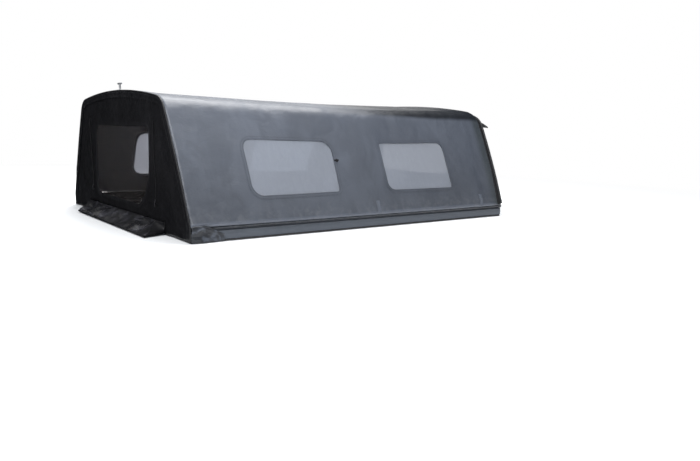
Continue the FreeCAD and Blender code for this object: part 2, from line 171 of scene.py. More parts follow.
def turn_at(girth):
    """The turn of the hoops at a length round the cover from its right foot."""
    half = min(girth, GIRTH - girth)
    if half < LEG_GIRTH:
        turn = half / LEG_GIRTH
    elif half < LEG_GIRTH + SHOULDER_GIRTH:
        turn = 1 + (half - LEG_GIRTH) / SHOULDER_GIRTH
    else:
        turn = 2 + (half - LEG_GIRTH - SHOULDER_GIRTH) / CROWN_GIRTH
    return turn if girth <= HALF_GIRTH else 6 - turn


def frame_point(along, girth, inward=0.0):
    """A point of the tight cover at a place along the canopy and a length round it."""
    turn = turn_at(girth)
    if along <= ROW_PLACES[0]:
        return REAR.point(turn, inward, along - REAR.place)
    if along >= ROW_PLACES[-1]:
        return CAB.point(turn, inward, along - CAB.place)
    upper = next(i for i, place in enumerate(ROW_PLACES) if place > along)
    share = (along - ROW_PLACES[upper - 1]) / (ROW_PLACES[upper] - ROW_PLACES[upper - 1])
    start = ROWS[upper - 1][0].point(turn, inward, ROWS[upper - 1][1])
    end = ROWS[upper][0].point(turn, inward, ROWS[upper][1])
    return start.lerp(end, share)


def outward_at(along, girth):
    """The way out of the tight cover."""
    step = 0.004
    forward = frame_point(along + step, girth) - frame_point(along - step, girth)
    low, high = max(girth - step, 0.0), min(girth + step, GIRTH)
    upward = frame_point(along, high) - frame_point(along, low)
    return forward.cross(upward).normalized()


def bump(value, centre, spread):
    """A soft hill of height 1."""
    return math.exp(-(((value - centre) / spread) ** 2))


def ramp(value, start, end):
    """Smoothly from 0 at start to 1 at end."""
    share = min(max((value - start) / (end - start), 0.0), 1.0)
    return share * share * (3 - 2 * share)


# Cutting cloth

# The side of one square of the flat grid, and of the square that the UV map covers
CELL = 0.012
CLOTH_SPAN = 2.5


def rounded_outline(corners, radii, steps=8):
    """Points round a window, with a radius of its own at each corner."""
    points = []
    count = len(corners)
    for index, corner in enumerate(corners):
        corner = Vector(corner)
        to_last = (Vector(corners[index - 1]) - corner).normalized()
        to_next = (Vector(corners[(index + 1) % count]) - corner).normalized()
        angle = to_last.angle(to_next)
        inset = radii[index] / math.tan(angle / 2)
        centre = corner + (to_last + to_next).normalized() * radii[index] / math.sin(angle / 2)
        start = corner + to_last * inset - centre
        end = corner + to_next * inset - centre
        for step in range(steps + 1):
            way = start.lerp(end, step / steps).normalized()
            points.append(centre + way * radii[index])
    return points


def even_outline(points, spacing=0.003):
    """The same outline with a point every few millimetres."""
    dense = []
    for start, end in zip(points, points[1:] + points[:1]):
        count = max(1, int((end - start).length / spacing))
        dense += [start.lerp(end, step / count) for step in range(count)]
    return dense


def grown(points, distance):
    """An outline moved outwards, or inwards with a negative distance."""
    moved = []
    for index, point in enumerate(points):
        way = points[(index + 1) % len(points)] - points[index - 1]
        moved.append(point + Vector((way.y, -way.x)).normalized() * distance)
    return moved


def is_inside(point, outline):
    """Whether a flat point lies inside an outline."""
    inside = False
    last = outline[-1]
    for here in outline:
        if (here.y > point.y) != (last.y > point.y):
            cross = (last.x - here.x) * (point.y - here.y) / (last.y - here.y) + here.x
            if point.x < cross:
                inside = not inside
        last = here
    return inside


class Cloth:
    """A flat piece of cloth with its edges and windows cut to an outline."""

    def __init__(self, left, right, bottom, top, cell=CELL):
        across = max(2, round((right - left) / cell))
        upward = max(2, round((top - bottom) / cell))
        self.points = [
            Vector((left + (right - left) * i / across, bottom + (top - bottom) * j / upward))
            for j in range(upward + 1)
            for i in range(across + 1)
        ]
        row = across + 1
        self.faces = [
            (j * row + i, j * row + i + 1, (j + 1) * row + i + 1, (j + 1) * row + i)
            for j in range(upward)
            for i in range(across)
        ]
        self.held = self.rim()

    def rim(self):
        """The points on the open edges."""
        seen = {}
        for face in self.faces:
            for a, b in zip(face, face[1:] + face[:1]):
                key = (min(a, b), max(a, b))
                seen[key] = seen.get(key, 0) + 1
        return {point for key, count in seen.items() if count == 1 for point in key}

    def cut(self, outline, keep_inside=False):
        """Cuts a window out, or with keep_inside cuts the piece itself to the outline."""
        outline = even_outline(outline)
        kept = []
        for face in self.faces:
            centre = sum((self.points[i] for i in face), Vector((0.0, 0.0))) / len(face)
            if is_inside(centre, outline) == keep_inside:
                kept.append(face)
        self.faces = kept
        used = {point for face in kept for point in face}
        fresh = (self.rim() - self.held) & used
        if keep_inside:
            fresh = self.rim()
            self.held = set()
        for index in fresh:
            here = self.points[index]
            self.points[index] = min(outline, key=lambda place: (place - here).length_squared).copy()
        self.held |= fresh
        self.settle(outline)

    def settle(self, outline, rounds=6, reach=0.04):
        """Evens the cells near a cut edge."""
        low = Vector((min(p.x for p in outline) - reach, min(p.y for p in outline) - reach))
        high = Vector((max(p.x for p in outline) + reach, max(p.y for p in outline) + reach))
        beside = {}
        for face in self.faces:
            for a, b in zip(face, face[1:] + face[:1]):
                beside.setdefault(a, set()).add(b)
                beside.setdefault(b, set()).add(a)
        near = [
            index
            for index in beside
            if index not in self.held
            and low.x < self.points[index].x < high.x
            and low.y < self.points[index].y < high.y
        ]
        for _ in range(rounds):
            for index in near:
                around = beside[index]
                middle = sum((self.points[i] for i in around), Vector((0.0, 0.0))) / len(around)
                self.points[index] = self.points[index].lerp(middle, 0.6)

    def area(self):
        """The area of the flat cloth that is left."""
        total = 0.0
        for face in self.faces:
            corners = [self.points[i] for i in face]
            for a, b in zip(corners, corners[1:] + corners[:1]):
                total += (a.x * b.y - b.x * a.y) / 2
        return abs(total)

    def make(self, name, place, flip=False):
        """A new object with each point put where place says."""
        used = sorted({point for face in self.faces for point in face})
        fresh = {old: new for new, old in enumerate(used)}
        corners = [self.points[i] for i in used]
        faces = [tuple(fresh[i] for i in face) for face in self.faces]
        if flip:
            faces = [face[::-1] for face in faces]
        piece = new_piece(name, [place(p.x, p.y) for p in corners], faces, smooth=True)
        layer = piece.data.uv_layers.new(name="Cloth")
        for loop in piece.data.loops:
            layer.data[loop.index].uv = corners[loop.vertex_index] / CLOTH_SPAN + Vector((0.5, 0.0))
        return piece


# Small tools of the workshop

FINISHES = {}


def deselect():
    bpy.ops.object.select_all(action="DESELECT")


def pick(piece):
    deselect()
    piece.select_set(True)
    bpy.context.view_layer.objects.active = piece


def new_piece(name, vertices, faces, smooth=False):
    """A new object from its points and faces."""
    mesh = bpy.data.meshes.new(name)
    mesh.from_pydata(vertices, [], faces)
    mesh.polygons.foreach_set("use_smooth", [smooth] * len(mesh.polygons))
    piece = bpy.data.objects.new(name, mesh)
    bpy.context.collection.objects.link(piece)
    return piece


def closed_piece(name, vertices, faces, smooth=False):
    """A new object without open edges, with its faces turned outwards."""
    piece = new_piece(name, vertices, faces, smooth)
    pick(piece)
    bpy.ops.object.mode_set(mode="EDIT")
    bpy.ops.mesh.select_all(action="SELECT")
    bpy.ops.mesh.normals_make_consistent(inside=False)
    bpy.ops.object.mode_set(mode="OBJECT")
    return piece


def round_over(angle):
    """Shades the picked piece smooth, but for edges sharper than an angle in degrees."""
    bpy.ops.object.shade_smooth_by_angle(angle=math.radians(angle))


def small_box(size, edge, segments, centre):
    """A box with bevelled edges, drawn at the origin and then moved to its centre."""
    deselect()
    bpy.ops.mesh.primitive_cube_add(size=1.0, location=(0, 0, 0))
    box = bpy.context.object
    bpy.ops.object.mode_set(mode="EDIT")
    bpy.ops.transform.resize(value=size)
    bpy.ops.mesh.bevel(offset=edge, segments=segments)
    bpy.ops.object.mode_set(mode="OBJECT")
    box.data.transform(Matrix.Translation(centre))
    return box


def apply_modifier(piece, kind, **values):
    """Adds a modifier with its values and applies it."""
    pick(piece)
    modifier = piece.modifiers.new(kind.title(), kind)
    for name, value in values.items():
        setattr(modifier, name, value)
    bpy.ops.object.modifier_apply(modifier=modifier.name)


def thicken(piece, wall, offset=-1.0):
    apply_modifier(piece, "SOLIDIFY", thickness=wall, offset=offset, use_even_offset=False)


def finish_piece(piece, finish, slot, *nodes):
    """Gives a piece its finish, its body and the solids it stands for. The slot is not used."""
    piece.data.materials.clear()
    piece.data.materials.append(FINISHES[finish].material)
    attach(piece, "root")
    if nodes:
        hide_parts(*nodes)
    return piece


def tube_along(name, path, radius, sides=8, closed=False, swell=None):
    """A round bead or rope that follows a path, with its ends closed."""
    count = len(path)
    rings = []
    lift = Vector((0.0, 0.0, 1.0))
    for index, point in enumerate(path):
        if closed:
            way = path[(index + 1) % count] - path[index - 1]
        else:
            way = path[min(index + 1, count - 1)] - path[max(index - 1, 0)]
        way.normalize()
        side = way.cross(lift)
        if side.length < 0.05:
            side = way.cross(Vector((1.0, 0.0, 0.0)))
        side.normalize()
        lift = side.cross(way).normalized()
        size = radius * (swell(index / max(count - 1, 1)) if swell else 1.0)
        angles = [turn * math.tau / sides for turn in range(sides)]
        rings.append([point + (side * math.cos(a) + lift * math.sin(a)) * size for a in angles])
    faces = []
    for index in range(count if closed else count - 1):
        here, there = index * sides, ((index + 1) % count) * sides
        for turn in range(sides):
            after = (turn + 1) % sides
            faces.append((here + turn, here + after, there + after, there + turn))
    if not closed:
        faces.append(tuple(range(sides))[::-1])
        faces.append(tuple((count - 1) * sides + turn for turn in range(sides)))
    return closed_piece(name, [point for ring in rings for point in ring], faces, smooth=True)


def joined(name, pieces):
    """Several pieces made one."""
    deselect()
    for piece in pieces:
        piece.select_set(True)
    bpy.context.view_layer.objects.active = pieces[0]
    if len(pieces) > 1:
        bpy.ops.object.join()
    pieces[0].name = name
    pieces[0].data.name = name
    return pieces[0]


def dressed_copy(node, edge):
    """A copy of a solid with its edges rounded."""
    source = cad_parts[node]
    piece = bpy.data.objects.new(node + "_dressed", source.data.copy())
    bpy.context.collection.objects.link(piece)
    apply_modifier(piece, "WELD", merge_threshold=0.00002)
    corner = math.radians(40)
    apply_modifier(piece, "BEVEL", width=edge, segments=2, limit_method="ANGLE", angle_limit=corner)
    round_over(35)
    return piece


def dress(nodes, edge, finish, slot):
    """Puts rounded copies in the place of some solids."""
    for node in nodes:
        finish_piece(dressed_copy(node, edge), finish, slot, node)


# Finishes

class Nodes:
    """A node tree with short ways to add to it."""

    def __init__(self, tree):
        self.tree = tree

    def add(self, kind, sockets=None, **settings):
        node = self.tree.nodes.new(kind)
        for name, value in settings.items():
            setattr(node, name, value)
        for name, value in (sockets or {}).items():
            self.feed(node.inputs[name], value)
        return node

    def feed(self, socket, value):
        if hasattr(value, "links"):
            self.tree.links.new(value, socket)
        else:
            socket.default_value = value

    def parts(self, vector):
        """The X, Y and Z of a vector."""
        return self.add("ShaderNodeSeparateXYZ", {"Vector": vector}).outputs

    def noise(self, place, scale, detail=3.0, rough=0.5, warp=0.0):
        node = self.add(
            "ShaderNodeTexNoise",
            {"Vector": place, "Scale": scale, "Detail": detail, "Roughness": rough, "Distortion": warp},
        )
        return node.outputs["Fac"]

    def cells(self, place, scale, kind="F1"):
        """The distance to the nearest of many scattered points."""
        node = self.add("ShaderNodeTexVoronoi", {"Vector": place, "Scale": scale}, feature=kind)
        return node.outputs["Distance"]

    def wave(self, place, scale, way, warp=0.0, detail=2.0):
        node = self.add(
            "ShaderNodeTexWave",
            {"Vector": place, "Scale": scale, "Distortion": warp, "Detail": detail},
            bands_direction=way,
        )
        return node.outputs["Fac"]

    def between(self, value, start, end, low=0.0, high=1.0):
        """Runs smoothly from low to high while the value runs from start to end."""
        node = self.add(
            "ShaderNodeMapRange",
            {"Value": value, "From Min": start, "From Max": end, "To Min": low, "To Max": high},
            clamp=True,
            interpolation_type="SMOOTHSTEP",
        )
        return node.outputs["Result"]

    def both(self, kind, first, second):
        node = self.add("ShaderNodeMath", operation=kind)
        self.feed(node.inputs[0], first)
        self.feed(node.inputs[1], second)
        return node.outputs[0]

    def sum(self, first, second):
        return self.both("ADD", first, second)

    def times(self, first, second):
        return self.both("MULTIPLY", first, second)

    def mix(self, share, first, second):
        """Mixes two colours."""
        node = self.add("ShaderNodeMix", data_type="RGBA")
        self.feed(node.inputs["Factor"], share)
        self.feed(node.inputs[6], first)
        self.feed(node.inputs[7], second)
        return node.outputs[2]

    def blend(self, share, first, second):
        """Mixes two surfaces."""
        node = self.add("ShaderNodeMixShader", {"Fac": share})
        self.feed(node.inputs[1], first)
        self.feed(node.inputs[2], second)
        return node.outputs["Shader"]

    def seen_straight(self):
        """1 for rays from the camera, from gloss and through film, and 0 for soft light."""
        rays = self.add("ShaderNodeLightPath").outputs
        straight = self.sum(rays["Is Camera Ray"], rays["Is Glossy Ray"])
        return self.sum(straight, rays["Is Transmission Ray"])


class Finish(Nodes):
    """A material built from nodes."""

    def __init__(self, name):
        self.material = bpy.data.materials.new(name)
        self.material.use_nodes = True
        super().__init__(self.material.node_tree)
        self.surface = self.tree.nodes["Principled BSDF"]
        self.output = self.tree.nodes["Material Output"]
        self.place = self.add("ShaderNodeTexCoord")

    def set(self, **sockets):
        """Sets the main surface's own sockets."""
        for name, value in sockets.items():
            self.feed(self.surface.inputs[name.replace("_", " ")], value)

    def show(self, shader):
        """Shows a surface in the place of the main one."""
        self.feed(self.output.inputs["Surface"], shader)

    def object_place(self, scale=(1.0, 1.0, 1.0)):
        node = self.add("ShaderNodeMapping", {"Vector": self.place.outputs["Object"], "Scale": scale})
        return node.outputs["Vector"]

    def cloth_place(self):
        """The cloth's own coordinates, in metres."""
        scale = (CLOTH_SPAN, CLOTH_SPAN, 1)
        node = self.add("ShaderNodeMapping", {"Vector": self.place.outputs["UV"], "Scale": scale})
        return node.outputs["Vector"]

    def outer_side(self, place, start, end):
        """1 on the faces that look away from the middle of the canopy and 0 on the inner ones."""
        way = self.parts(self.add("ShaderNodeNewGeometry").outputs["Normal"])["X"]
        return self.between(self.times(self.parts(place)["X"], way), start, end)

    def relief(self, height, distance, strength=1.0, below=None):
        node = self.add("ShaderNodeBump", {"Height": height, "Distance": distance, "Strength": strength})
        if below is not None:
            self.feed(node.inputs["Normal"], below)
        return node.outputs["Normal"]


def shade(colour, amount):
    return tuple(channel * amount for channel in colour[:3]) + (1.0,)


def side_tone_and_painted_light(finish, whole, fade, patches, colour, roof):
    """The colour of the cover with painted light and shade: painted shade towards the bottom and along the
    front end, a painted highlight along the outer hem, and a darker roof for painted dark reflection.
    """
    place = finish.parts(whole)
    up, along = place["Z"], place["Y"]
    # Painted shade: the sides run from their own colour above to a darker one below.
    upper = finish.mix(patches, shade(colour, 0.92), shade(colour, 1.18))
    lower = finish.mix(patches, shade(colour, 0.62), shade(colour, 0.78))
    tone_and_painted_light = finish.mix(finish.between(up, 0.06, 0.46), lower, upper)
    # Painted highlight: a pale band along the hem, on the outer faces only.
    low_edge = finish.sum(up, finish.times(fade, 0.01))
    outside = finish.outer_side(whole, 0.0, 0.1)
    hem = finish.times(finish.between(low_edge, 0.070, 0.078, 0.5, 0.0), outside)
    tone_and_painted_light = finish.mix(hem, tone_and_painted_light, shade(colour, 1.7))
    # Painted shade: a darker strip along the front end of the cover.
    front_edge = finish.sum(along, finish.times(fade, 0.02))
    shaded = finish.between(front_edge, 0.805, 0.855, 0.0, 0.75)
    tone_and_painted_light = finish.mix(shaded, tone_and_painted_light, (0.026, 0.033, 0.036, 1.0))
    # Painted dark reflection and shade: the roof takes the darker roof colour, most at its front; its rear
    # keeps most of the side colour, which lightens the painted highlight there.
    rise = finish.between(finish.sum(up, finish.times(fade, 0.02)), 0.487, 0.512)
    on_roof = finish.times(rise, finish.between(along, -0.25, 0.35, 0.15, 1.0))
    finish.set(Specular_IOR_Level=finish.between(on_roof, 0.0, 1.0, 0.5, 0.2))
    return finish.mix(on_roof, tone_and_painted_light, roof)


def coated_cloth(name, colour, roughness, dust, woven=True, crease=1.0, roof=None):
    """Coated cloth with its scrim, grain, soft dents, fading and dust.

    The roof may be given a darker colour of its own, as painted dark reflection and shade on the roof,
    strongest at its front.
    """
    finish = Finish(name)
    whole = finish.object_place()
    weave_place = finish.cloth_place() if woven else whole
    fade = finish.noise(whole, 2.3, 4.0, 0.55, 0.4)
    streaks = finish.noise(finish.object_place((1.2, 1.2, 0.35)), 9.0, 4.0, 0.6, 0.8)
    patches = finish.between(finish.times(fade, streaks), 0.16, 0.40)
    if roof:
        tone_and_painted_light = side_tone_and_painted_light(finish, whole, fade, patches, colour, roof)
    else:
        tone_and_painted_light = finish.mix(patches, shade(colour, 0.92), shade(colour, 1.18))
    low = finish.between(finish.parts(whole)["Z"], 0.045, 0.16, 1.0, 0.0)
    specks = finish.between(finish.noise(whole, 38.0, 5.0, 0.65, 0.6), 0.40, 0.85)
    grime = finish.times(finish.times(low, specks), dust)
    finish.set(Base_Color=finish.mix(grime, tone_and_painted_light, (0.17, 0.175, 0.185, 1.0)))
    gloss = finish.between(patches, 0.0, 1.0, roughness - 0.04, roughness + 0.07)
    finish.set(Roughness=finish.sum(gloss, finish.times(grime, 0.3)))
    dents = finish.noise(whole, 7.0, 2.0, 0.45, 0.3)
    creases = finish.noise(finish.object_place((1.0, 1.0, 2.2)), 26.0, 3.0, 0.55, 0.9)
    normal = finish.relief(dents, 0.010)
    normal = finish.relief(creases, 0.0012 * crease, 1.0, normal)
    if woven:
        threads = [finish.wave(weave_place, 130.0, way, 0.6, 1.0) for way in ("X", "Y")]
        normal = finish.relief(finish.sum(*threads), 0.00006, 1.0, normal)
    grain = finish.cells(weave_place, 900.0, "SMOOTH_F1")
    finish.set(Normal=finish.relief(grain, 0.00010, 0.8, normal))
    return finish


def clear_film(name, tint, milk, seen_through, roughness):
    """Flexible clear film: part is seen through, part is milky with age."""
    finish = Finish(name)
    whole = finish.object_place()
    clouds = finish.noise(whole, 3.0, 3.0, 0.5, 0.5)
    scuffs = finish.noise(finish.object_place((1.0, 2.0, 1.0)), 24.0, 5.0, 0.7, 1.0)
    haze = finish.between(finish.times(clouds, scuffs), 0.12, 0.45)
    finish.set(Base_Color=finish.mix(haze, shade(milk, 0.98), shade(milk, 1.02)))
    finish.set(Roughness=finish.between(haze, 0.0, 1.0, roughness, roughness + 0.04))
    finish.set(IOR=1.45)
    ripple = finish.relief(finish.noise(whole, 5.0, 2.0, 0.5, 0.6), 0.004)
    finish.set(Normal=finish.relief(scuffs, 0.00008, 0.6, ripple))
    through = finish.add("ShaderNodeBsdfTransparent", {"Color": tint})
    glow = finish.add("ShaderNodeBsdfTranslucent", {"Color": shade(milk, 1.6)})
    body = finish.blend(0.35, finish.surface.outputs["BSDF"], glow.outputs["BSDF"])
    clear = finish.between(haze, 0.0, 1.0, seen_through + 0.015, seen_through - 0.015)
    finish.show(finish.blend(clear, body, through.outputs["BSDF"]))
    return finish


def painted_steel(colour):
    """Black paint on steel tube, with orange peel, lighter and darker blotches and spots of rust."""
    finish = Finish("bow paint")
    whole = finish.object_place()
    blotch = finish.noise(whole, 14.0, 4.0, 0.6, 0.3)
    rust = finish.between(finish.noise(whole, 46.0, 6.0, 0.75, 0.6), 0.66, 0.74)
    worn = finish.mix(finish.between(blotch, 0.35, 0.7), shade(colour, 0.85), shade(colour, 1.35))
    finish.set(Base_Color=finish.mix(rust, worn, (0.13, 0.055, 0.028, 1.0)))
    gloss = finish.between(blotch, 0.3, 0.7, 0.34, 0.5)
    finish.set(Roughness=finish.sum(gloss, finish.times(rust, 0.3)))
    peel = finish.relief(finish.noise(whole, 420.0, 2.0), 0.0002, 0.6)
    finish.set(Normal=finish.relief(rust, 0.0004, 0.6, peel))
    return finish


def drawn_aluminium(colour):
    """Extruded aluminium with die lines along the rail, dull oxide and scratches, and painted shade on the
    faces that look inwards.
    """
    finish = Finish("rail aluminium")
    whole = finish.object_place()
    lines = finish.noise(finish.object_place((90.0, 0.5, 90.0)), 9.0, 4.0, 0.6)
    oxide = finish.noise(whole, 22.0, 5.0, 0.65, 0.5)
    tone = finish.mix(finish.between(oxide, 0.35, 0.7), shade(colour, 0.8), shade(colour, 1.15))
    drawn = finish.mix(finish.between(lines, 0.3, 0.75), tone, shade(colour, 1.0))
    # Painted shade: the faces that look into the canopy are made far darker.
    outside = finish.outer_side(whole, -0.3, -0.1)
    finish.set(Base_Color=finish.mix(outside, shade(colour, 0.12), drawn))
    finish.set(Metallic=0.85)
    gloss = finish.between(oxide, 0.3, 0.7, 0.38, 0.55)
    finish.set(Roughness=finish.sum(gloss, finish.times(lines, 0.08)))
    finish.set(Normal=finish.relief(lines, 0.00012, 0.8))
    return finish


def plain_metal(name, colour, roughness):
    """Zinc plate or spun metal with fine mottling."""
    finish = Finish(name)
    whole = finish.object_place()
    spangle = finish.cells(whole, 260.0)
    stain = finish.noise(whole, 60.0, 5.0, 0.7, 0.6)
    stained = finish.between(stain, 0.4, 0.7)
    finish.set(Base_Color=finish.mix(stained, shade(colour, 1.0), shade(colour, 0.6)))
    finish.set(Metallic=0.9)
    finish.set(Roughness=finish.between(finish.sum(spangle, stain), 0.4, 1.2, roughness, roughness + 0.2))
    finish.set(Normal=finish.relief(stain, 0.0002, 0.5))
    return finish


def dull_rubber(name, colour, ribs=0.0):
    """Black rubber with a pale bloom, and ribs along it where asked."""
    finish = Finish(name)
    whole = finish.object_place()
    bloom = finish.noise(whole, 30.0, 5.0, 0.7, 0.4)
    finish.set(Base_Color=finish.mix(finish.between(bloom, 0.4, 0.75), colour, shade(colour, 1.9)))
    finish.set(Roughness=finish.between(bloom, 0.3, 0.7, 0.62, 0.8))
    normal = finish.relief(finish.noise(whole, 500.0, 3.0), 0.0003, 0.6)
    if ribs:
        normal = finish.relief(finish.wave(whole, ribs, "Z"), 0.0006, 0.8, normal)
    finish.set(Normal=normal)
    return finish


def tape_weave(name, colour):
    """Twill tape with a fine diagonal rib."""
    finish = Finish(name)
    whole = finish.object_place()
    rib = finish.wave(whole, 420.0, "DIAGONAL", 1.0)
    fluff = finish.noise(whole, 160.0, 4.0, 0.7)
    finish.set(Base_Color=finish.mix(finish.times(rib, fluff), shade(colour, 0.8), shade(colour, 1.5)))
    finish.set(Roughness=finish.between(fluff, 0.3, 0.7, 0.75, 0.9))
    finish.set(Normal=finish.relief(rib, 0.0002, 0.9))
    return finish


# Sizes and colours that a user would change

def metres(name, default, description):
    """A length in metres that the sidebar shows."""
    return FloatProperty(name=name, description=description, default=default, unit="LENGTH")


def base_colour(name, default, description):
    """A base colour that the sidebar shows."""
    return FloatVectorProperty(name=name, description=description, default=default, subtype="COLOR")


class CoverSizes(bpy.types.PropertyGroup):
    """Cloth of the roof and the sides."""

    wall: metres("Wall", 0.002, "Thickness of the cloth")
    rear_sag: metres("Rear sag", 0.011, "How far the roof hangs in the rear bay")
    front_sag: metres("Front sag", 0.005, "How far the roof hangs in the front bay")
    front_rise: metres("Front rise", 0.014, "How far the roof swells near its front")
    side_draw: metres("Side draw", 0.004, "How far the sides pull in between bows")
    ripple: metres("Ripple", 0.0016, "Height of the soft ripples")
    crumple: metres("Crumple", 0.005, "Height of the creases at the rear corners")


class WindowSizes(bpy.types.PropertyGroup):
    """The windows and their borders."""

    film: metres("Film", 0.0008, "Thickness of the clear film")
    lap: metres("Lap", 0.013, "Film behind the edge of the cloth")
    border: metres("Border", 0.015, "Width of the sewn border")
    pitch: metres("Pitch", 0.0045, "Length from stitch to stitch")


class ApronSizes(bpy.types.PropertyGroup):
    """The lower part of the rear curtain."""

    top: metres("Top", 0.048, "Height of its seam")
    left: metres("Left end", -0.356, "Left end of the hem")
    right: metres("Right end", 0.474, "Right end of the hem")
    reach: metres("Reach", 0.094, "Hem behind the rear bow")
    folds: IntProperty(name="Folds", description="Folds pulled in the apron", default=5)


class Colours(bpy.types.PropertyGroup):
    """Base colours of the finishes."""

    cover: base_colour("Cover", (0.077, 0.088, 0.112), "Faded top cloth")
    # Painted dark reflection and shade: this colour darkens the roof, most at its front.
    roof: base_colour("Roof", (0.012, 0.014, 0.018), "Cleaner cloth of the roof")
    # Painted shade: the curtain is the same vinyl as the cover, but its colour is far darker, for the shade
    # on the rear end.
    curtain: base_colour("Curtain", (0.0074, 0.0074, 0.0088), "Cloth of the rear end")
    milk: base_colour("Film", (0.362, 0.386, 0.438), "Milky side windows")
    paint: base_colour("Paint", (0.022, 0.023, 0.026), "Paint on the bows")
    rail: base_colour("Rail", (0.100, 0.111, 0.130), "Aluminium of the rails")


def opaque(colour):
    """A colour with full cover, as the sockets of the finishes take it."""
    return tuple(colour) + (1.0,)


class CANOPY_OT_finishes(bpy.types.Operator):
    """Makes the finishes that the pieces share"""

    bl_idname = "canopy.finishes"
    bl_label = "Finishes"

    def execute(self, context):
        colours = context.scene.canopy_colours
        curtain, top = opaque(colours.curtain), opaque(colours.cover)
        cover = coated_cloth("cover cloth", top, 0.40, 0.4, crease=0.7, roof=opaque(colours.roof))
        # Painted shade: the curtain colour, far darker than the cover's, also darkens the front panel, the
        # trims and the apron.
        rear = coated_cloth("curtain cloth", curtain, 0.42, 0.04)
        rear.set(Specular_IOR_Level=0.18)
        trim = coated_cloth("trim cloth", shade(curtain, 1.2), 0.42, 0.1, woven=False)
        trim.set(Specular_IOR_Level=0.3)
        apron = coated_cloth("apron cloth", shade(curtain, 1.9), 0.3, 0.05, crease=0.3)
        # Painted highlights: pale patches on the apron stand for glints on its folds.
        glint_noise = apron.noise(apron.object_place((1.0, 1.0, 2.0)), 15.0, 3.0, 0.55, 0.6)
        painted_glints = apron.mix(apron.between(glint_noise, 0.50, 0.68), shade(curtain, 1.5), shade(curtain, 7.0))
        apron.set(Specular_IOR_Level=0.45, Base_Color=painted_glints)
        patch = coated_cloth("patch cloth", shade(top, 1.12), 0.42, 0.3, crease=0.7)
        welt = coated_cloth("hem cloth", shade(top, 0.28), 0.4, 0.3, woven=False)
        # Painted shade and highlights: the folded cloth is darker than the cover, for the shade in its
        # creases, with pale spots for glints.
        fold = coated_cloth("folded cloth", shade(top, 0.3), 0.34, 0.0, crease=1.5)
        fold_glints = fold.between(fold.noise(fold.object_place(), 24.0, 2.0, 0.5, 0.5), 0.44, 0.62)
        fold.set(Specular_IOR_Level=0.42, Base_Color=fold.mix(fold_glints, shade(top, 0.2), shade(top, 0.8)))
        side = clear_film("milky film", (0.84, 0.86, 0.88, 1.0), opaque(colours.milk), 0.34, 0.22)
        smoke = (0.13, 0.12, 0.118, 1.0)
        smoked = clear_film("smoked film", (0.88, 0.86, 0.85, 1.0), smoke, 0.88, 0.2)
        smoked.set(Specular_IOR_Level=0.12)
        tape = tape_weave("zip tape", (0.006, 0.006, 0.007, 1.0))
        tape.set(Specular_IOR_Level=0.08)
        teeth = dull_rubber("zip teeth", (0.012, 0.012, 0.014, 1.0))
        teeth.set(Specular_IOR_Level=0.2)
        FINISHES.update(
            cover=cover,
            rear=rear,
            trim=trim,
            apron=apron,
            patch=patch,
            welt=welt,
            fold=fold,
            side_film=side,
            rear_film=smoked,
            thread=tape_weave("thread", (0.035, 0.036, 0.042, 1.0)),
            tape=tape,
            teeth=teeth,
            paint=painted_steel(opaque(colours.paint)),
            rail=drawn_aluminium(opaque(colours.rail)),
            seal=dull_rubber("seal rubber", (0.018, 0.018, 0.02, 1.0), 40.0),
            zinc=plain_metal("zinc plate", (0.52, 0.53, 0.55, 1.0), 0.32),
        )
        return {"FINISHED"}


# Cover

BOW_NODES = ("rear_bow", "middle_bow", "front_bow", "cab_bow")
BAYS = ((-0.845, 0.0124), (0.0374, 0.6875), (0.7125, 0.845))
REST_PLACES = (-BOW_HALF, 0.0, BOW_HALF)


def share_of_bay(along):
    """Which bay a place is in, and how far along it."""
    for index, (start, end) in enumerate(BAYS):
        if start < along < end:
            return index, (along - start) / (end - start)
    return None, 0.0


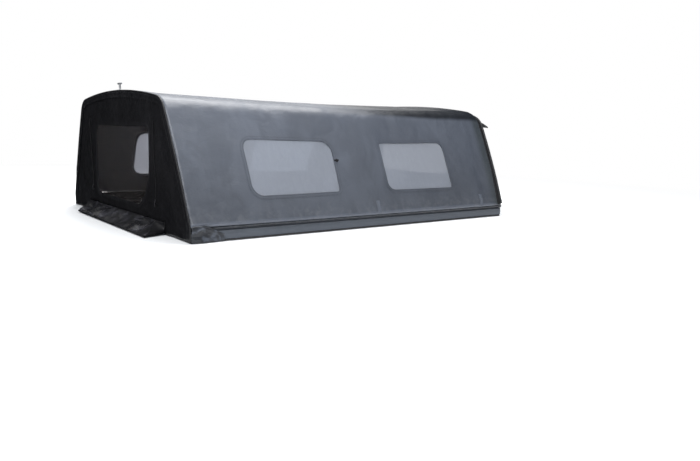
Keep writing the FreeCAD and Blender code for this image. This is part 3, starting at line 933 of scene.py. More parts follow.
def drape(along, girth, sizes):
    """How far the cloth stands out of the tight cover, or hangs in with a minus."""
    half = min(girth, GIRTH - girth)
    on_right = girth < HALF_GIRTH
    upright = ramp(half, 0.01, 0.12) * (1 - ramp(half, LEG_GIRTH - 0.12, LEG_GIRTH + 0.02))

    # The roof hangs between the bows but not at its ridge, and swells near its front
    bay, share = share_of_bay(along)
    swing = math.sin(math.pi * share)
    sag = {0: sizes.rear_sag * swing * (1.35 - 0.75 * share), 1: sizes.front_sag * swing}.get(bay, 0.0)
    over = ramp(half, LEG_GIRTH + 0.4 * SHOULDER_GIRTH, LEG_GIRTH + SHOULDER_GIRTH + 0.12)
    out = -sag * over * (1 - bump(half, HALF_GIRTH, 0.10))
    swell = ramp(half, LEG_GIRTH - 0.01, LEG_GIRTH + SHOULDER_GIRTH)
    out += sizes.front_rise * swell * ramp(along, 0.68, 0.82) * (1 - ramp(along, 0.838, 0.876))

    # The sides pull in between the bows
    if bay is not None:
        out -= sizes.side_draw * swing * upright

    # Soft ripples all over, and pull folds that fan out towards the rear corners
    wide = noise.noise(Vector((along * 3.1, girth * 2.6, 0.7)))
    out += sizes.ripple * wide * ramp(half, 0.0, 0.05)
    fine = noise.noise(Vector((along * 11.0, girth * 7.0, 3.1)))
    out += 0.4 * sizes.ripple * fine * ramp(half, 0.0, 0.04)
    fan = (girth if on_right else GIRTH - girth) * 16 + along * 34
    out += 0.7 * sizes.ripple * math.sin(fan) * ramp(along, -0.55, -0.85) * upright

    # Crumpled corners at the rear, and a seam and a pleat along the hem
    corner = ramp(along, -0.56, -0.74) * ramp(half, 0.16, 0.01)
    rough = noise.fractal(Vector((along * 17.0, half * 34.0, 9.0 if on_right else 4.0)), 0.8, 2.1, 3)
    out += sizes.crumple * corner * (0.35 + rough)
    out += 0.0022 * bump(along, 0.003, 0.007) * ramp(half, 0.10, 0.03)
    out -= 0.0020 * bump(half, 0.022, 0.005) * ramp(along, 0.02, 0.08) * ramp(along, 0.86, 0.80)
    lower = bump(half, 0.030, 0.008) * ramp(along, -0.05, -0.25)
    out += 0.0016 * lower * noise.noise(Vector((along * 9.0, 0.0, 0.0)))

    # It lies on the ridge tube and rests near the middle of the canopy
    resting = max(bump(half, HALF_GIRTH, 0.03), *(bump(along, spot, 0.03) for spot in REST_PLACES))
    return out + resting * (max(out, 0.0001) - out)


def cover_place(sizes, inward=0.0):
    """Puts cloth on the cover, with the drape of its sizes."""

    def place(along, girth, lift=0.0):
        spot = frame_point(along, girth)
        return spot + outward_at(along, girth) * (drape(along, girth, sizes) + lift - inward)

    return place


SILL = 0.106
WINDOW_TOP = 0.338
WINDOW_SHAPES = {
    "rear_side_window": (
        ((-0.590, SILL), (-0.172, SILL + 0.006), (-0.167, WINDOW_TOP - 0.002), (-0.590, WINDOW_TOP)),
        (0.046, 0.014, 0.050, 0.040),
    ),
    "front_side_window": (
        ((0.110, SILL + 0.003), (0.531, SILL), (0.532, WINDOW_TOP - 0.007), (0.112, WINDOW_TOP - 0.007)),
        (0.038, 0.011, 0.036, 0.012),
    ),
}


def side_windows():
    """The outlines of the four side windows on the flat cover, by the solid each stands for."""
    outlines = {}
    for name, (corners, radii) in WINDOW_SHAPES.items():
        outlines["right_" + name] = rounded_outline(corners, radii)
        turned = [(u, GIRTH - v) for u, v in corners][::-1]
        outlines["left_" + name] = rounded_outline(turned, radii[::-1])
    return outlines


class CANOPY_OT_cover(bpy.types.Operator):
    """Makes the cover as one sheet over all four bows, with its four windows cut out"""

    bl_idname = "canopy.cover"
    bl_label = "Cover"

    def execute(self, context):
        sizes = context.scene.canopy_cover
        cloth = Cloth(-HALF_LENGTH - 0.002, HALF_LENGTH + 0.002, 0.0, GIRTH)
        for outline in side_windows().values():
            cloth.cut(outline)
        cover = cloth.make("cover", cover_place(sizes))
        thicken(cover, sizes.wall)
        nodes = ("roof_cover", "right_side_cover", "left_side_cover")
        finish_piece(cover, "cover", "cover_vinyl", *nodes)
        cloth.area()
        return {"FINISHED"}


def strip(name, lines, closed, angle):
    """A flat strip with thickness, through lines of points that run side by side round its section."""
    count, across = len(lines[0]), len(lines)
    vertices = [line[i] for i in range(count) for line in lines]
    faces = []
    for i in range(count if closed else count - 1):
        here, there = i * across, ((i + 1) % count) * across
        for j in range(across):
            k = (j + 1) % across
            faces.append((here + j, there + j, there + k, here + k))
    if not closed:
        faces.append(tuple(range(across)))
        faces.append(tuple((count - 1) * across + j for j in range(across))[::-1])
    piece = closed_piece(name, vertices, faces)
    round_over(angle)
    return piece


def stitches(name, path, pitch, thickness=0.00045):
    """A row of stitches on a path of places and ways out."""
    vertices, faces = [], []
    walked, due = 0.0, pitch / 2
    for (start, out), (end, _) in zip(path, path[1:]):
        length = (end - start).length
        if length < 1e-9:
            continue
        way = (end - start) / length
        while due <= walked + length:
            middle = start + way * (due - walked)
            side = way.cross(out).normalized()
            base = len(vertices)
            for reach, wide in ((-0.34, 0.5), (-0.2, 1.0), (0.2, 1.0), (0.34, 0.5)):
                centre = middle + way * pitch * reach
                for turn in range(4):
                    angle = math.tau * (turn + 0.5) / 4
                    aside = side * math.cos(angle) + out * math.sin(angle)
                    vertices.append(centre + aside * thickness * wide)
            for ring in range(3):
                for turn in range(4):
                    here, after = base + ring * 4 + turn, base + ring * 4 + (turn + 1) % 4
                    faces.append((here, after, after + 4, here + 4))
            faces.append((base + 3, base + 2, base + 1, base))
            faces.append((base + 12, base + 13, base + 14, base + 15))
            due += pitch
        walked += length
    return closed_piece(name, vertices, faces, smooth=True)


def sewn_window(name, outline, place, out_at, sizes, cloth):
    """The border of a window and its two rows of stitches, on cloth of the finish that is given."""
    dense = even_outline(outline, 0.006)
    near, far = 0.0006, 0.0006 + sizes.border
    section = ((near, -0.0004), (near, 0.0009), (far, 0.0009), (far, -0.0004))
    lines = [[place(p.x, p.y, lift) for p in grown(dense, offset)] for offset, lift in section]
    band = strip(name + "_border", lines, True, 50)
    rows = []
    for offset in (0.004, sizes.border - 0.003):
        line = grown(dense, offset)
        line.append(line[0])
        path = [(place(p.x, p.y, 0.0011), out_at(p.x, p.y)) for p in line]
        rows.append(stitches(name + "_thread", path, sizes.pitch))
    finish_piece(band, cloth, "cover_vinyl")
    finish_piece(joined(name + "_thread", rows), "thread", "cover_vinyl")


class CANOPY_OT_side_windows(bpy.types.Operator):
    """Makes the four side windows of clear film with their sewn borders"""

    bl_idname = "canopy.side_windows"
    bl_label = "Side windows"

    def execute(self, context):
        sizes = context.scene.canopy_windows
        cover = context.scene.canopy_cover
        outer = cover_place(cover)
        behind = cover_place(cover, cover.wall + 0.0002)
        for node, outline in side_windows().items():
            low = Vector((min(p.x for p in outline), min(p.y for p in outline)))
            high = Vector((max(p.x for p in outline), max(p.y for p in outline)))
            lap = sizes.lap
            cloth = Cloth(low.x - lap, high.x + lap, low.y - lap, high.y + lap)
            cloth.cut(grown(outline, lap - 0.001), keep_inside=True)
            pane = cloth.make(node + "_film", behind)
            thicken(pane, sizes.film)
            finish_piece(pane, "side_film", "clear_vinyl", node)
            cloth.area()
            sewn_window(node, outline, outer, outward_at, sizes, "cover")
        return {"FINISHED"}


# Rear end

REAR_OPENING = rounded_outline(
    ((-0.314, 0.099), (0.196, 0.092), (0.262, 0.142), (0.312, 0.232), (0.324, 0.406), (-0.280, 0.406)),
    (0.045, 0.040, 0.10, 0.14, 0.030, 0.045),
)


EDGE_INSET = 0.0012


def hoop_outline(hoop, inward, bottom, notch=None, steps=14):
    """The outline of an end of the canopy, with a notch from its foot where asked."""
    right_foot, _ = hoop.flat(0.0, inward)
    points = [Vector((right_foot, bottom))]
    turns = [i / steps for i in range(6 * steps + 1)]
    points += [Vector(hoop.flat(turn, inward)) for turn in turns]
    points.append(Vector((-right_foot, bottom)))
    if notch:
        left, right, top = notch
        points += [Vector(p) for p in ((left, bottom), (left, top), (right, top), (right, bottom))]
    return points


def curtain_drape(across, up):
    """Soft folds in the rear curtain, pulled from the corners of its window."""
    out = 0.0022 * noise.noise(Vector((across * 4.2, up * 3.1, 5.0)))
    out += 0.0009 * noise.noise(Vector((across * 15.0, up * 8.0, 2.0)))
    leg = ramp(abs(across), 0.30, 0.42)
    out += 0.0022 * leg * math.sin(up * 21 + across * 34) * ramp(up, 0.46, 0.10)
    below = ramp(up, 0.13, 0.02)
    out += 0.004 * below * noise.noise(Vector((across * 11.0, up * 18.0, 8.0)))
    return out


def rear_place(back, draped=True):
    """Puts cloth behind the rear bow, with the folds of the curtain where it is draped."""

    def place(across, up, lift=0.0):
        fold = curtain_drape(across, up) if draped else 0.0
        return REAR.stand(across, up, -(back + lift + fold))

    return place


def rear_out(across, up):
    """The way out of the rear end, the same at each of its points."""
    return (REAR.stand(0, 0, -1.0) - REAR.stand(0, 0, 0)).normalized()


class CANOPY_OT_rear_curtain(bpy.types.Operator):
    """Makes the rear curtain with its window, binding and piping"""

    bl_idname = "canopy.rear_curtain"
    bl_label = "Rear curtain"

    def execute(self, context):
        sizes = context.scene.canopy_windows
        apron = context.scene.canopy_apron
        outline = hoop_outline(REAR, EDGE_INSET, 0.003, (-0.44, 0.44, apron.top - 0.004))
        cloth = Cloth(-0.666, 0.666, 0.001, 0.552)
        cloth.cut(outline, keep_inside=True)
        cloth.cut(REAR_OPENING)
        curtain = cloth.make("rear_curtain_cloth", rear_place(CURTAIN_BACK))
        thicken(curtain, END_CLOTH)
        finish_piece(curtain, "rear", "cover_vinyl", "rear_curtain")
        cloth.area()
        film = Cloth(-0.33, 0.34, 0.076, 0.42)
        film.cut(grown(REAR_OPENING, sizes.lap - 0.001), keep_inside=True)
        pane = film.make("rear_film", rear_place(REAR_PANE_BACK))
        thicken(pane, sizes.film)
        finish_piece(pane, "rear_film", "clear_vinyl", "rear_window")
        film.area()
        sewn_window("rear_window", REAR_OPENING, rear_place(CURTAIN_BACK), rear_out, sizes, "rear")
        self.binding()
        return {"FINISHED"}

    def binding(self):
        """The folded band round the edge, its two rows of stitches and the welt."""
        steps = 40
        turns = [i / steps for i in range(6 * steps + 1)]
        low_heights = [0.003 + 0.0529 * i / 6 for i in range(6)]
        place = rear_place(BINDING_BACK)

        def line(inward):
            right_foot, _ = REAR.flat(0.0, inward)
            points = [Vector((right_foot, up)) for up in low_heights]
            points += [Vector(REAR.flat(turn, inward)) for turn in turns]
            points += [Vector((-right_foot, up)) for up in low_heights[::-1]]
            return points

        def crimp(point, lift):
            across, up = point
            gather = 0.0007 * noise.noise(Vector((across * 60.0, up * 60.0, 1.0)))
            return place(across, up, lift + gather)

        section = (
            (0.0006, -0.0008),
            (0.0004, 0.0010),
            (0.006, 0.0016),
            (0.024, 0.0014),
            (0.030, 0.0008),
            (0.030, -0.0008),
        )
        lines = [[crimp(point, lift) for point in line(inward)] for inward, lift in section]
        band = strip("rear_binding_band", lines, False, 60)
        finish_piece(band, "rear", "cover_vinyl", "rear_binding")
        out = rear_out(0, 0)
        threads = []
        for inward in (0.008, 0.025):
            path = [(crimp(p, 0.0019), out) for p in line(inward)]
            threads.append(stitches("binding_thread", path, 0.005))
        thread = joined("binding_thread", threads)
        finish_piece(thread, "thread", "cover_vinyl")
        flat_place = rear_place(WELT_BACK, draped=False)
        welt_path = []
        for p in line(0.0016):
            wobble = 0.0016 * noise.noise(Vector((p.x * 9, p.y * 26, 0.4))) * ramp(p.y, 0.30, 0.05)
            welt_path.append(flat_place(p.x + math.copysign(wobble, p.x), p.y))
        welt = tube_along("edge_welt", welt_path, 0.0036, 8)
        finish_piece(welt, "trim", "hem_welt")


SEAM_BACK = 0.0045
HEM_UP = 0.0065
APRON_FLAT = (0.876, 0.100)
CHEEK_FLAT = (0.09, 0.04)


def apron_place(sizes):
    """Puts cloth that leaves the curtain at its seam and falls outwards to its hem."""

    def place(share, down):
        top = -0.438 + 0.800 * share
        low = sizes.left + (sizes.right - sizes.left) * share
        across = top + (low - top) * ramp(down, 0.1, 1.0)
        reach = sizes.reach * (0.87 + 0.13 * share)
        away = 0.25 * down + 0.75 * ramp(down, 0.0, 1.15) / ramp(1.0, 0.0, 1.15)
        back = SEAM_BACK + (reach - SEAM_BACK) * away
        up = HEM_UP + (sizes.top - HEM_UP) * (1 - down) ** 1.25
        free = ramp(down, 0.0, 0.45) * (1 - 0.8 * ramp(down, 0.8, 1.0))
        folds = math.sin(share * math.pi * sizes.folds * 1.7 + 2.2 * math.sin(share * 5.0) + down * 2.0)
        rough = noise.fractal(Vector((share * 8.0 + down, down * 1.6, 6.0)), 1.0, 2.0, 2)
        peak = bump(share, 0.41 - 0.07 * down, 0.022) * ramp(down, 0.1, 0.5)
        rise = free * (0.0045 * folds + 0.0080 * rough + 0.013 * peak)
        along = -HALF_LENGTH - 0.0016 - back - 0.35 * rise
        return Vector((across + 0.005 * free * rough, along, max(up + rise, 0.0048)))

    return place


class CANOPY_OT_apron(bpy.types.Operator):
    """Makes the apron of the curtain, its rolled hem and its end cheeks"""

    bl_idname = "canopy.apron"
    bl_label = "Apron"

    def execute(self, context):
        sizes = context.scene.canopy_apron
        place = apron_place(sizes)
        wide, tall = APRON_FLAT
        cloth = Cloth(0.0, wide, 0.0, tall, 0.0045)
        sheet = cloth.make("rear_apron_cloth", lambda u, v: place(u / wide, 1 - v / tall))
        thicken(sheet, 0.0016, 0.0)
        finish_piece(sheet, "apron", "cover_vinyl", "rear_apron")
        path = [place(i / 120, 1.0) for i in range(121)]
        hem = tube_along("apron_hem", path, 0.0036, 8, swell=lambda t: 1 + 0.12 * math.sin(t * 90))
        finish_piece(hem, "trim", "hem_welt")
        self.cheeks(place)
        return {"FINISHED"}

    def cheeks(self, place):
        """Gussets that close the ends of the apron."""
        wide, tall = CHEEK_FLAT
        for side, share in ((-1, 0.0), (1, 1.0)):
            cloth = Cloth(0.0, wide, 0.0, tall, 0.0045)

            def put(u, v, side=side, share=share):
                edge = place(share, 1 - v / tall)
                root = REAR.stand(side * 0.441, max(edge.z, 0.006), -0.0026)
                along = 1 - u / wide
                fold = 0.003 * noise.noise(Vector((u * 40, v * 40, 3.0 + side))) * math.sin(math.pi * along)
                return root.lerp(edge, along) + Vector((side * fold, 0.0, 0.0))

            name = "apron_cheek_right" if side > 0 else "apron_cheek_left"
            cheek = cloth.make(name, put, flip=side > 0)
            thicken(cheek, 0.0014, 0.0)
            finish_piece(cheek, "rear", "cover_vinyl")


class CANOPY_OT_zips(bpy.types.Operator):
    """Makes the two upright zips with their teeth and sliders"""

    bl_idname = "canopy.zips"
    bl_label = "Zips"

    def execute(self, context):
        for side in ("right", "left"):
            node = side + "_zip"
            low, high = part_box(node)
            across = (low.x + high.x) / 2
            half = (high.x - low.x) / 2
            place = rear_place(ZIP_BACK)
            cloth = Cloth(across - half, across + half, low.z, high.z, 0.0035)
            tape = cloth.make(side + "_zip_tape", lambda u, v: place(u, v, 0.0012))
            thicken(tape, 0.0012)
            finish_piece(tape, "tape", "zip_tape", node)
            self.teeth(side, across, low.z, high.z, place)
        return {"FINISHED"}

    def teeth(self, side, across, low, high, place):
        """One row of moulded teeth, and the slider with its pull."""
        vertices, faces = [], []
        pitch, end = 0.0026, 0.006
        count = int((high - low - 2 * end) / pitch)
        for i in range(count):
            up = low + end + i * pitch
            shift = 0.0009 if i % 2 else -0.0009
            base = len(vertices)
            for lift, wide, tall in ((0.0010, 0.0024, 0.0009), (0.0026, 0.0017, 0.0005)):
                for sx, sz in ((-1, -1), (1, -1), (1, 1), (-1, 1)):
                    vertices.append(place(across + shift + sx * wide, up + sz * tall, lift))
            for a, b in ((0, 1), (1, 2), (2, 3), (3, 0)):
                faces.append((base + a, base + b, base + b + 4, base + a + 4))
            faces.append((base + 4, base + 5, base + 6, base + 7))
            faces.append((base + 3, base + 2, base + 1, base))
        row = closed_piece(side + "_zip_teeth", vertices, faces)
        finish_piece(row, "teeth", "zip_tape")
        slider = small_box((0.009, 0.004, 0.011), 0.0012, 2, place(across, low + 0.014, 0.0035))
        pull_path = [
            place(across, low + 0.012 - 0.0045 * t, 0.0055 + 0.0008 * math.sin(t)) for t in range(6)
        ]
        pull = tube_along(side + "_zip_pull", pull_path, 0.0016, 8, swell=lambda t: 0.7 + 0.8 * t)
        whole = joined(side + "_zip_slider", [slider, pull])
        finish_piece(whole, "teeth", "zip_tape")


# Hems and corners

class CANOPY_OT_hems(bpy.types.Operator):
    """Makes the roped hems, their stitches and the cloth folded round the rail ends"""

    bl_idname = "canopy.hems"
    bl_label = "Hems and corners"

    def execute(self, context):
        sizes = context.scene.canopy_cover
        outer = cover_place(sizes)
        for side, mirror in (("right", 1), ("left", -1)):
            low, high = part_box(side + "_hem_rope")
            centre = Vector(((low.x + high.x) / 2, 0.0, (low.z + high.z) / 2))
            path = []
            count = 180
            for i in range(count + 1):
                along = low.y + (high.y - low.y) * i / count
                waver = 0.0009 * noise.noise(Vector((along * 14, mirror, 0.0)))
                path.append(Vector((centre.x + mirror * waver, along, centre.z + waver)))
            lumps = lambda t: 1 + 0.05 * noise.noise(Vector((t * 60, 0, 0)))
            hem = tube_along(side + "_hem_welt", path, 0.0054, 12, swell=lumps)
            finish_piece(hem, "welt", "hem_welt", side + "_hem_rope")
            line = []
            for i in range(count + 1):
                along = low.y + 0.004 + (2 * HALF_LENGTH - 0.008) * i / count
                girth = 0.009 if mirror > 0 else GIRTH - 0.009
                line.append((outer(along, girth, 0.0003), outward_at(along, girth)))
            thread = stitches(side + "_hem_thread", line, 0.005)
            finish_piece(thread, "thread", "cover_vinyl")
            self.corner(side, mirror)
        self.front_band(outer)
        return {"FINISHED"}

    def front_band(self, outer):
        """The dark band that binds the front edge of the cover, a little wider towards the rails."""
        end = HALF_LENGTH + 0.0035
        cloth = Cloth(0.0, 0.019, 0.003, GIRTH - 0.003, 0.005)

        def put(u, v):
            half = min(v, GIRTH - v)
            along = end - u * (1 + 0.45 * ramp(half, 0.22, 0.02))
            return outer(min(along, HALF_LENGTH + 0.002), v, 0.0011)

        band = cloth.make("front_edge_band", put, flip=True)
        thicken(band, 0.0015)
        finish_piece(band, "trim", "cover_vinyl")

    def corner(self, side, mirror):
        """Cloth folded down over the rear end of the rail, in loose creases."""
        low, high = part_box(side + "_rear_tuck")
        length, tall = high.y - low.y, high.z - low.z
        base = high.x if mirror > 0 else low.x
        cloth = Cloth(0.0, length + 0.02, 0.0, tall + 0.006, 0.003)

        def put(u, v):
            along = low.y - 0.004 + u
            taper = 1 - 0.42 * ramp(u, 0.35 * length, length + 0.02) + 0.06 * math.sin(u * 34)
            up = v * taper + 0.0006
            rough = noise.fractal(Vector((u * 15.0, v * 40.0, 2.0 * mirror)), 0.9, 2.1, 3)
            crease = math.sin(v * 150 + 22 * u + 2.2 * rough) * 0.0020
            hold = ramp(u, length + 0.02, length - 0.05)
            out = (0.0038 + 0.0056 * rough + crease) * hold + 0.0006
            slip = 0.005 * (1 - hold) * rough
            return Vector((base + mirror * max(out, 0.0006), along, min(max(up + slip, 0.0006), 0.062)))

        tuck = cloth.make(side + "_rail_end_fold", put, flip=mirror < 0)
        thicken(tuck, 0.0014)
        finish_piece(tuck, "fold", "cover_vinyl", side + "_rear_tuck")


PATCH_WIDTH = 0.021
PATCH_PLACES = (("_seam_patch", 0.0135), ("_front_seam_patch", 0.7155))
BUTTON_ALONG = -0.1545
BUTTON_GIRTH = 0.2495


class CANOPY_OT_seams(bpy.types.Operator):
    """Makes the seam patches at the feet of the inner bows and the turn buttons by the rear windows"""

    bl_idname = "canopy.seams"
    bl_label = "Seam and button"

    def execute(self, context):
        outer = cover_place(context.scene.canopy_cover)
        for side, start, end in (("right", 0.003, 0.062), ("left", GIRTH - 0.062, GIRTH - 0.003)):
            rows = []
            for name, rear in PATCH_PLACES:
                cloth = Cloth(rear, rear + PATCH_WIDTH, start, end, 0.0035)
                patch = cloth.make(side + name, lambda u, v: outer(u, v, 0.0011))
                thicken(patch, 0.0013)
                finish_piece(patch, "patch", "cover_vinyl")
                for along in (rear + 0.003, rear + PATCH_WIDTH - 0.003):
                    girths = [start + 0.003 + (end - start - 0.006) * i / 20 for i in range(21)]
                    path = [(outer(along, g, 0.0013), outward_at(along, g)) for g in girths]
                    rows.append(stitches("seam_thread", path, 0.005))
            finish_piece(joined(side + "_seam_thread", rows), "thread", "cover_vinyl")
        self.button(outer, "right", BUTTON_GIRTH)
        self.button(outer, "left", GIRTH - BUTTON_GIRTH)
        return {"FINISHED"}

    def button(self, outer, side, girth):
        """A turn button on its strap, drawn at the origin and then set on the cover."""
        deselect()
        bpy.ops.mesh.primitive_cylinder_add(vertices=24, radius=0.0075, depth=0.0016, location=(0, 0, 0))
        base = bpy.context.object
        bpy.ops.object.mode_set(mode="EDIT")
        bpy.ops.mesh.bevel(offset=0.0005, segments=2)
        bpy.ops.object.mode_set(mode="OBJECT")
        base.data.transform(Matrix.Translation((0, 0, 0.0018)))
        knob = small_box((0.015, 0.0065, 0.006), 0.0020, 3, (0, 0, 0.0050))
        strap = small_box((0.020, 0.008, 0.0014), 0.0004, 1, (-0.004, 0, 0.0007))
        whole = joined(side + "_turn_button", [base, knob, strap])
        out = outward_at(BUTTON_ALONG, girth)
        forward = Vector((0.0, 1.0, 0.0))
        upward = out.cross(forward).normalized()
        turn = Matrix((forward, upward, out)).transposed().to_4x4()
        whole.data.transform(Matrix.Translation(outer(BUTTON_ALONG, girth, 0.0)) @ turn)
        finish_piece(whole, "teeth", "bolt_steel")


# Front end

def cab_place(forward):
    """Puts cloth in front of the last bow, a little uneven."""

    def place(across, up, lift=0.0):
        fold = 0.0016 * noise.noise(Vector((across * 3.8, up * 4.0, 15.0)))
        return CAB.stand(across, up, forward + lift + fold)

    return place


def cab_out(across, up):
    """The way out of the front end, the same at each of its points."""
    return (CAB.stand(0, 0, 1.0) - CAB.stand(0, 0, 0)).normalized()


class CANOPY_OT_front_panel(bpy.types.Operator):
    """Makes the front panel with its window"""

    bl_idname = "canopy.front_panel"
    bl_label = "Front panel"

    def execute(self, context):
        sizes = context.scene.canopy_windows
        corners = ((-0.280, 0.190), (0.280, 0.190), (0.280, 0.400), (-0.280, 0.400))
        opening = rounded_outline(corners, (0.042,) * 4)
        skirt, foot = 0.5947, 0.012
        below = ((-skirt, FOOT_HEIGHT), (-skirt, foot), (skirt, foot), (skirt, FOOT_HEIGHT))
        outline = hoop_outline(CAB, EDGE_INSET, FOOT_HEIGHT) + [Vector(point) for point in below]
        cloth = Cloth(-0.666, 0.666, 0.010, 0.554)
        cloth.cut(outline, keep_inside=True)
        cloth.cut(opening)
        panel = cloth.make("front_panel_cloth", cab_place(PANEL_FRONT), flip=True)
        thicken(panel, END_CLOTH)
        finish_piece(panel, "rear", "cover_vinyl", "front_panel")
        cloth.area()
        film = Cloth(-0.294, 0.294, 0.176, 0.414)
        film.cut(grown(opening, sizes.lap - 0.001), keep_inside=True)
        pane = film.make("cab_film", cab_place(CAB_PANE_FRONT), flip=True)
        thicken(pane, sizes.film)
        finish_piece(pane, "rear_film", "clear_vinyl", "cab_window")
        film.area()
        sewn_window("cab_window", opening, cab_place(PANEL_FRONT), cab_out, sizes, "rear")
        return {"FINISHED"}


FLAP_INSET = 0.0215


class CANOPY_OT_cab_trim(bpy.types.Operator):
    """Makes the seal bulb round the front end and the rain flap above it"""

    bl_idname = "canopy.cab_trim"
    bl_label = "Seal and rain flap"

    def execute(self, context):
        path = [CAB.point(0.02 + 5.96 * i / 150, 0.0085, 0.0135) for i in range(151)]
        seal = tube_along("cab_seal_bulb", path, 0.0095, 12, swell=lambda t: 1 + 0.02 * math.sin(t * 300))
        finish_piece(seal, "seal", "seal_rubber", "cab_seal")
        half_width, reach = 0.505, 0.062
        cloth = Cloth(-half_width, half_width, 0.0, reach, 0.006)

        def put(u, v):
            half = HALF_GIRTH - abs(u)
            turn = turn_at(half if u >= 0 else GIRTH - half)
            share = v / reach
            root = CAB.point(turn, FLAP_INSET, 0.0045)
            across, up = CAB.flat(turn, FLAP_INSET - 0.0235 * share)
            wave = 0.0022 * math.sin(u * 34 + 1.3 * math.sin(u * 9)) * share
            drop = 0.016 + 0.022 * bump(abs(u), 0.42, 0.07) - 0.010 * ramp(abs(u), 0.47, half_width)
            tip = Vector((across, 0.9500, up - drop + wave))
            spot = root.lerp(tip, share)
            spot.z += 0.004 * math.sin(math.pi * share)
            return spot

        flap = cloth.make("rain_flap", put)
        thicken(flap, 0.0022)
        finish_piece(flap, "trim", "cover_vinyl", "cab_roof_flap")
        edge = [put(half_width * (i / 60 - 1), reach) - Vector((0, 0, 0.0011)) for i in range(121)]
        bead = tube_along("rain_flap_hem", edge, 0.0019, 8)
        finish_piece(bead, "trim", "hem_welt")
        return {"FINISHED"}


# Frame, rails and hardware

TUBE_HALF = 0.0102


class CANOPY_OT_frame(bpy.types.Operator):
    """Rounds the edges of the tubes and feet, and adds the welds at their joints"""

    bl_idname = "canopy.frame"
    bl_label = "Bows and tubes"

    def execute(self, context):
        tubes = ("ridge_purlin", "right_shoulder_purlin", "left_shoulder_purlin")
        dress(BOW_NODES + tubes, 0.0022, "paint", "bow_steel")
        dress(("right_bow_feet", "left_bow_feet"), 0.0010, "paint", "bow_steel")
        self.welds()
        return {"FINISHED"}

    def welds(self):
        """A bead round each end of each long tube, where it meets a bow."""
        beads = []
        for hoop in HOOPS:
            for way in (-1, 1):
                if (hoop is REAR and way < 0) or (hoop is CAB and way > 0):
                    continue
                forward = hoop.shift + way * (BOW_HALF + 0.0012)
                for turn, inward in ((3.0, 0.0023), (1.5, 0.0033), (4.5, 0.0033)):
                    outer = hoop.point(turn, inward, forward)
                    down = (hoop.point(turn, inward + 0.02, forward) - outer).normalized()
                    side = down.cross(Vector((0.0, 1.0, 0.0))).normalized() * TUBE_HALF
                    centre = outer + down * 0.010
                    low = down * TUBE_HALF
                    steps = (side - low, side + low, low - side, -side - low)
                    corners = [centre + step for step in steps]
                    edges = zip(corners, corners[1:] + corners[:1])
                    ring = [a.lerp(b, i / 6) for a, b in edges for i in range(6)]
                    lumps = lambda t, k=len(beads): 1 + 0.25 * math.sin(t * 55 + k)
                    beads.append(tube_along("weld", ring, 0.0017, 6, True, lumps))
        finish_piece(joined("tube_welds", beads), "paint", "bow_steel")


class CANOPY_OT_rails(bpy.types.Operator):
    """Rounds the edges of the rails and their seals"""

    bl_idname = "canopy.rails"
    bl_label = "Rails and seals"

    def execute(self, context):
        rails = ("right_base_rail", "left_base_rail", "front_base_rail")
        dress(rails, 0.0006, "rail", "rail_aluminium")
        seals = ("right_rail_seal", "left_rail_seal", "front_rail_seal")
        dress(seals, 0.0020, "seal", "seal_rubber")
        return {"FINISHED"}


class CANOPY_OT_hardware(bpy.types.Operator):
    """Rounds the latches at the front of the rails and the T-headed bolt on the rear bow"""

    bl_idname = "canopy.hardware"
    bl_label = "Latches and bolt"

    def execute(self, context):
        fittings = ("right_front_latch", "left_front_latch", "crown_wing_bolt")
        dress(fittings, 0.0008, "zinc", "bolt_steel")
        return {"FINISHED"}


# Stage

CAMERA_PLACE = Vector((2.70975, -1.83828, 0.40542))
CAMERA_TURN = (0.880198, 0.153192, 0.0322458)
CAMERA_LENS = 32.485


def lamp(name, place, target, size, power):
    """A softbox that looks at a target."""
    data = bpy.data.lights.new(name, "AREA")
    data.shape = "RECTANGLE"
    data.size, data.size_y = size
    data.energy = power
    light = bpy.data.objects.new(name, data)
    bpy.context.collection.objects.link(light)
    light.location = place
    light.rotation_euler = (Vector(target) - Vector(place)).to_track_quat("-Z", "Y").to_euler()
    return light


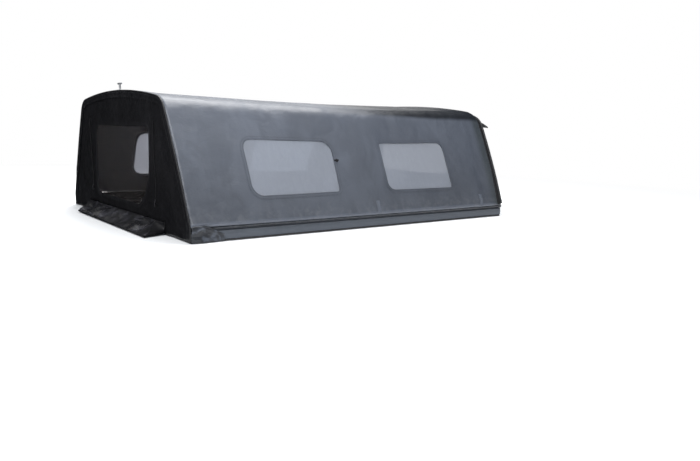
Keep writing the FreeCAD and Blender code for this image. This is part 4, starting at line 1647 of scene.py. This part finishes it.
class CANOPY_OT_stage(bpy.types.Operator):
    """Makes the pale floor, the soft sky, the lamps and the camera"""

    bl_idname = "canopy.stage"
    bl_label = "Stage"

    def execute(self, context):
        self.floor()
        self.sky()
        lamp("top softbox", (-0.3, 0.30, 2.8), (0.1, -0.2, 0.3), (2.6, 2.2), 118.0)
        lamp("side softbox", (2.1, -1.8, 2.2), (0.5, -0.7, 0.3), (1.3, 1.3), 48.0)
        left = lamp("left softbox", (-3.0, 0.6, 1.5), (-0.5, 0.0, 0.3), (2.0, 1.6), 105.0)
        left.visible_glossy = False
        self.flag("front flag", (0.35, 3.1, 1.75), (0.35, 0.0, 0.6), (4.6, 3.3))
        self.flag("rear flag", (-2.5, -2.5, 0.9), (0.0, -0.8, 0.3), (4.2, 3.0))
        self.flag("low flag", (-1.9, -1.75, 0.004), (-1.9, -1.75, 1.0), (5.0, 1.75))
        self.flag("left flag", (-3.3, 0.5, 0.85), (0.0, 0.5, 0.6), (3.6, 1.2))
        self.flag("right flag", (3.4, 0.2, 0.85), (0.0, 0.2, 0.6), (3.2, 1.1))
        self.camera(context)
        context.scene.view_settings.view_transform = "Standard"
        return {"FINISHED"}

    def floor(self):
        deselect()
        bpy.ops.mesh.primitive_plane_add(size=40.0, location=(0, 0, 0))
        floor = bpy.context.object
        floor.name = "floor"
        floor.data.transform(Matrix.Translation((0, 0, -0.0006)))
        finish = Finish("pale floor")
        whole = finish.object_place()
        far = finish.add("ShaderNodeVectorMath", {"Vector": whole}, operation="LENGTH").outputs["Value"]
        finish.set(Base_Color=(0.86, 0.865, 0.87, 1.0), Roughness=0.9)
        finish.set(Specular_IOR_Level=0.0)
        away = finish.times(finish.between(far, 1.3, 4.5), finish.seen_straight())
        white = finish.add("ShaderNodeEmission", {"Color": (1, 1, 1, 1), "Strength": 1.0})
        finish.show(finish.blend(away, finish.surface.outputs["BSDF"], white.outputs["Emission"]))
        floor.data.materials.append(finish.material)
        floor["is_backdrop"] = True

    def flag(self, name, place, target, size):
        """A black card that only reflections see, as a studio sets beside dark cloth."""
        deselect()
        bpy.ops.mesh.primitive_plane_add(size=1.0, location=(0, 0, 0))
        card = bpy.context.object
        card.name = name
        turn = (Vector(target) - Vector(place)).to_track_quat("Z", "Y").to_matrix().to_4x4()
        scale = Matrix.Diagonal((size[0], size[1], 1.0, 1.0))
        card.data.transform(Matrix.Translation(place) @ turn @ scale)
        finish = Finish(name)
        finish.set(Base_Color=(0.012, 0.012, 0.013, 1.0), Roughness=1.0, Specular_IOR_Level=0.0)
        card.data.materials.append(finish.material)
        for rays in ("camera", "diffuse", "shadow", "transmission"):
            setattr(card, "visible_" + rays, False)
        card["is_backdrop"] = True

    def sky(self):
        world = bpy.data.worlds.new("studio")
        world.use_nodes = True
        bpy.context.scene.world = world
        sky = Nodes(world.node_tree)
        sky.tree.nodes.clear()
        way = sky.add("ShaderNodeTexCoord").outputs["Generated"]
        strength = sky.between(sky.parts(way)["Z"], 0.0, 0.9, 0.25, 0.95)
        soft = sky.add("ShaderNodeBackground", {"Color": (0.93, 0.96, 1.0, 1.0), "Strength": strength})
        white = sky.add("ShaderNodeBackground", {"Color": (1, 1, 1, 1)})
        whole = sky.blend(sky.seen_straight(), soft.outputs[0], white.outputs[0])
        sky.add("ShaderNodeOutputWorld", {"Surface": whole})

    def camera(self, context):
        yaw, pitch, roll = CAMERA_TURN
        level = math.cos(pitch)
        ahead = Vector((-math.sin(yaw) * level, math.cos(yaw) * level, -math.sin(pitch)))
        right = Vector((math.cos(yaw), math.sin(yaw), 0.0))
        up = right.cross(ahead)
        across = right * math.cos(roll) + up * math.sin(roll)
        over = up * math.cos(roll) - right * math.sin(roll)
        turn = Matrix((across, over, -ahead)).transposed().to_4x4()
        data = bpy.data.cameras.new("camera")
        data.lens = CAMERA_LENS
        data.sensor_width = 36.0
        data.sensor_fit = "HORIZONTAL"
        data.clip_start = 0.02
        camera = bpy.data.objects.new("camera", data)
        context.collection.objects.link(camera)
        camera.matrix_world = Matrix.Translation(CAMERA_PLACE) @ turn
        context.scene.camera = camera


# The sidebar

class CANOPY_PT_sidebar(bpy.types.Panel):
    """Lists the sizes, the colours and the pieces of the canopy"""

    bl_label = "Canopy"
    bl_space_type = "VIEW_3D"
    bl_region_type = "UI"
    bl_category = "Canopy"

    def draw(self, context):
        scene = context.scene
        for group in (scene.canopy_cover, scene.canopy_windows, scene.canopy_apron, scene.canopy_colours):
            box = self.layout.box()
            for name in group.__annotations__:
                box.prop(group, name)
        for operator in PIECES:
            self.layout.operator(operator.bl_idname)


PIECES = (
    CANOPY_OT_finishes,
    CANOPY_OT_cover,
    CANOPY_OT_side_windows,
    CANOPY_OT_rear_curtain,
    CANOPY_OT_apron,
    CANOPY_OT_zips,
    CANOPY_OT_hems,
    CANOPY_OT_seams,
    CANOPY_OT_front_panel,
    CANOPY_OT_cab_trim,
    CANOPY_OT_frame,
    CANOPY_OT_rails,
    CANOPY_OT_hardware,
    CANOPY_OT_stage,
)
GROUPS = {
    "canopy_cover": CoverSizes,
    "canopy_windows": WindowSizes,
    "canopy_apron": ApronSizes,
    "canopy_colours": Colours,
}


def register():
    for name, group in GROUPS.items():
        bpy.utils.register_class(group)
        setattr(bpy.types.Scene, name, PointerProperty(type=group))
    for piece in PIECES:
        bpy.utils.register_class(piece)
    bpy.utils.register_class(CANOPY_PT_sidebar)


def unregister():
    bpy.utils.unregister_class(CANOPY_PT_sidebar)
    for piece in reversed(PIECES):
        bpy.utils.unregister_class(piece)
    for name, group in GROUPS.items():
        delattr(bpy.types.Scene, name)
        bpy.utils.unregister_class(group)


def main():
    register()
    bpy.ops.canopy.finishes()
    bpy.ops.canopy.cover()
    bpy.ops.canopy.side_windows()
    bpy.ops.canopy.rear_curtain()
    bpy.ops.canopy.apron()
    bpy.ops.canopy.zips()
    bpy.ops.canopy.hems()
    bpy.ops.canopy.seams()
    bpy.ops.canopy.front_panel()
    bpy.ops.canopy.cab_trim()
    bpy.ops.canopy.frame()
    bpy.ops.canopy.rails()
    bpy.ops.canopy.hardware()
    bpy.ops.canopy.stage()
    boxes = {"cad": CAD_BOX, "scene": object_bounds()}
    {name: [list(corner) for corner in box] for name, box in boxes.items()}


if __name__ == "__main__":
    main()
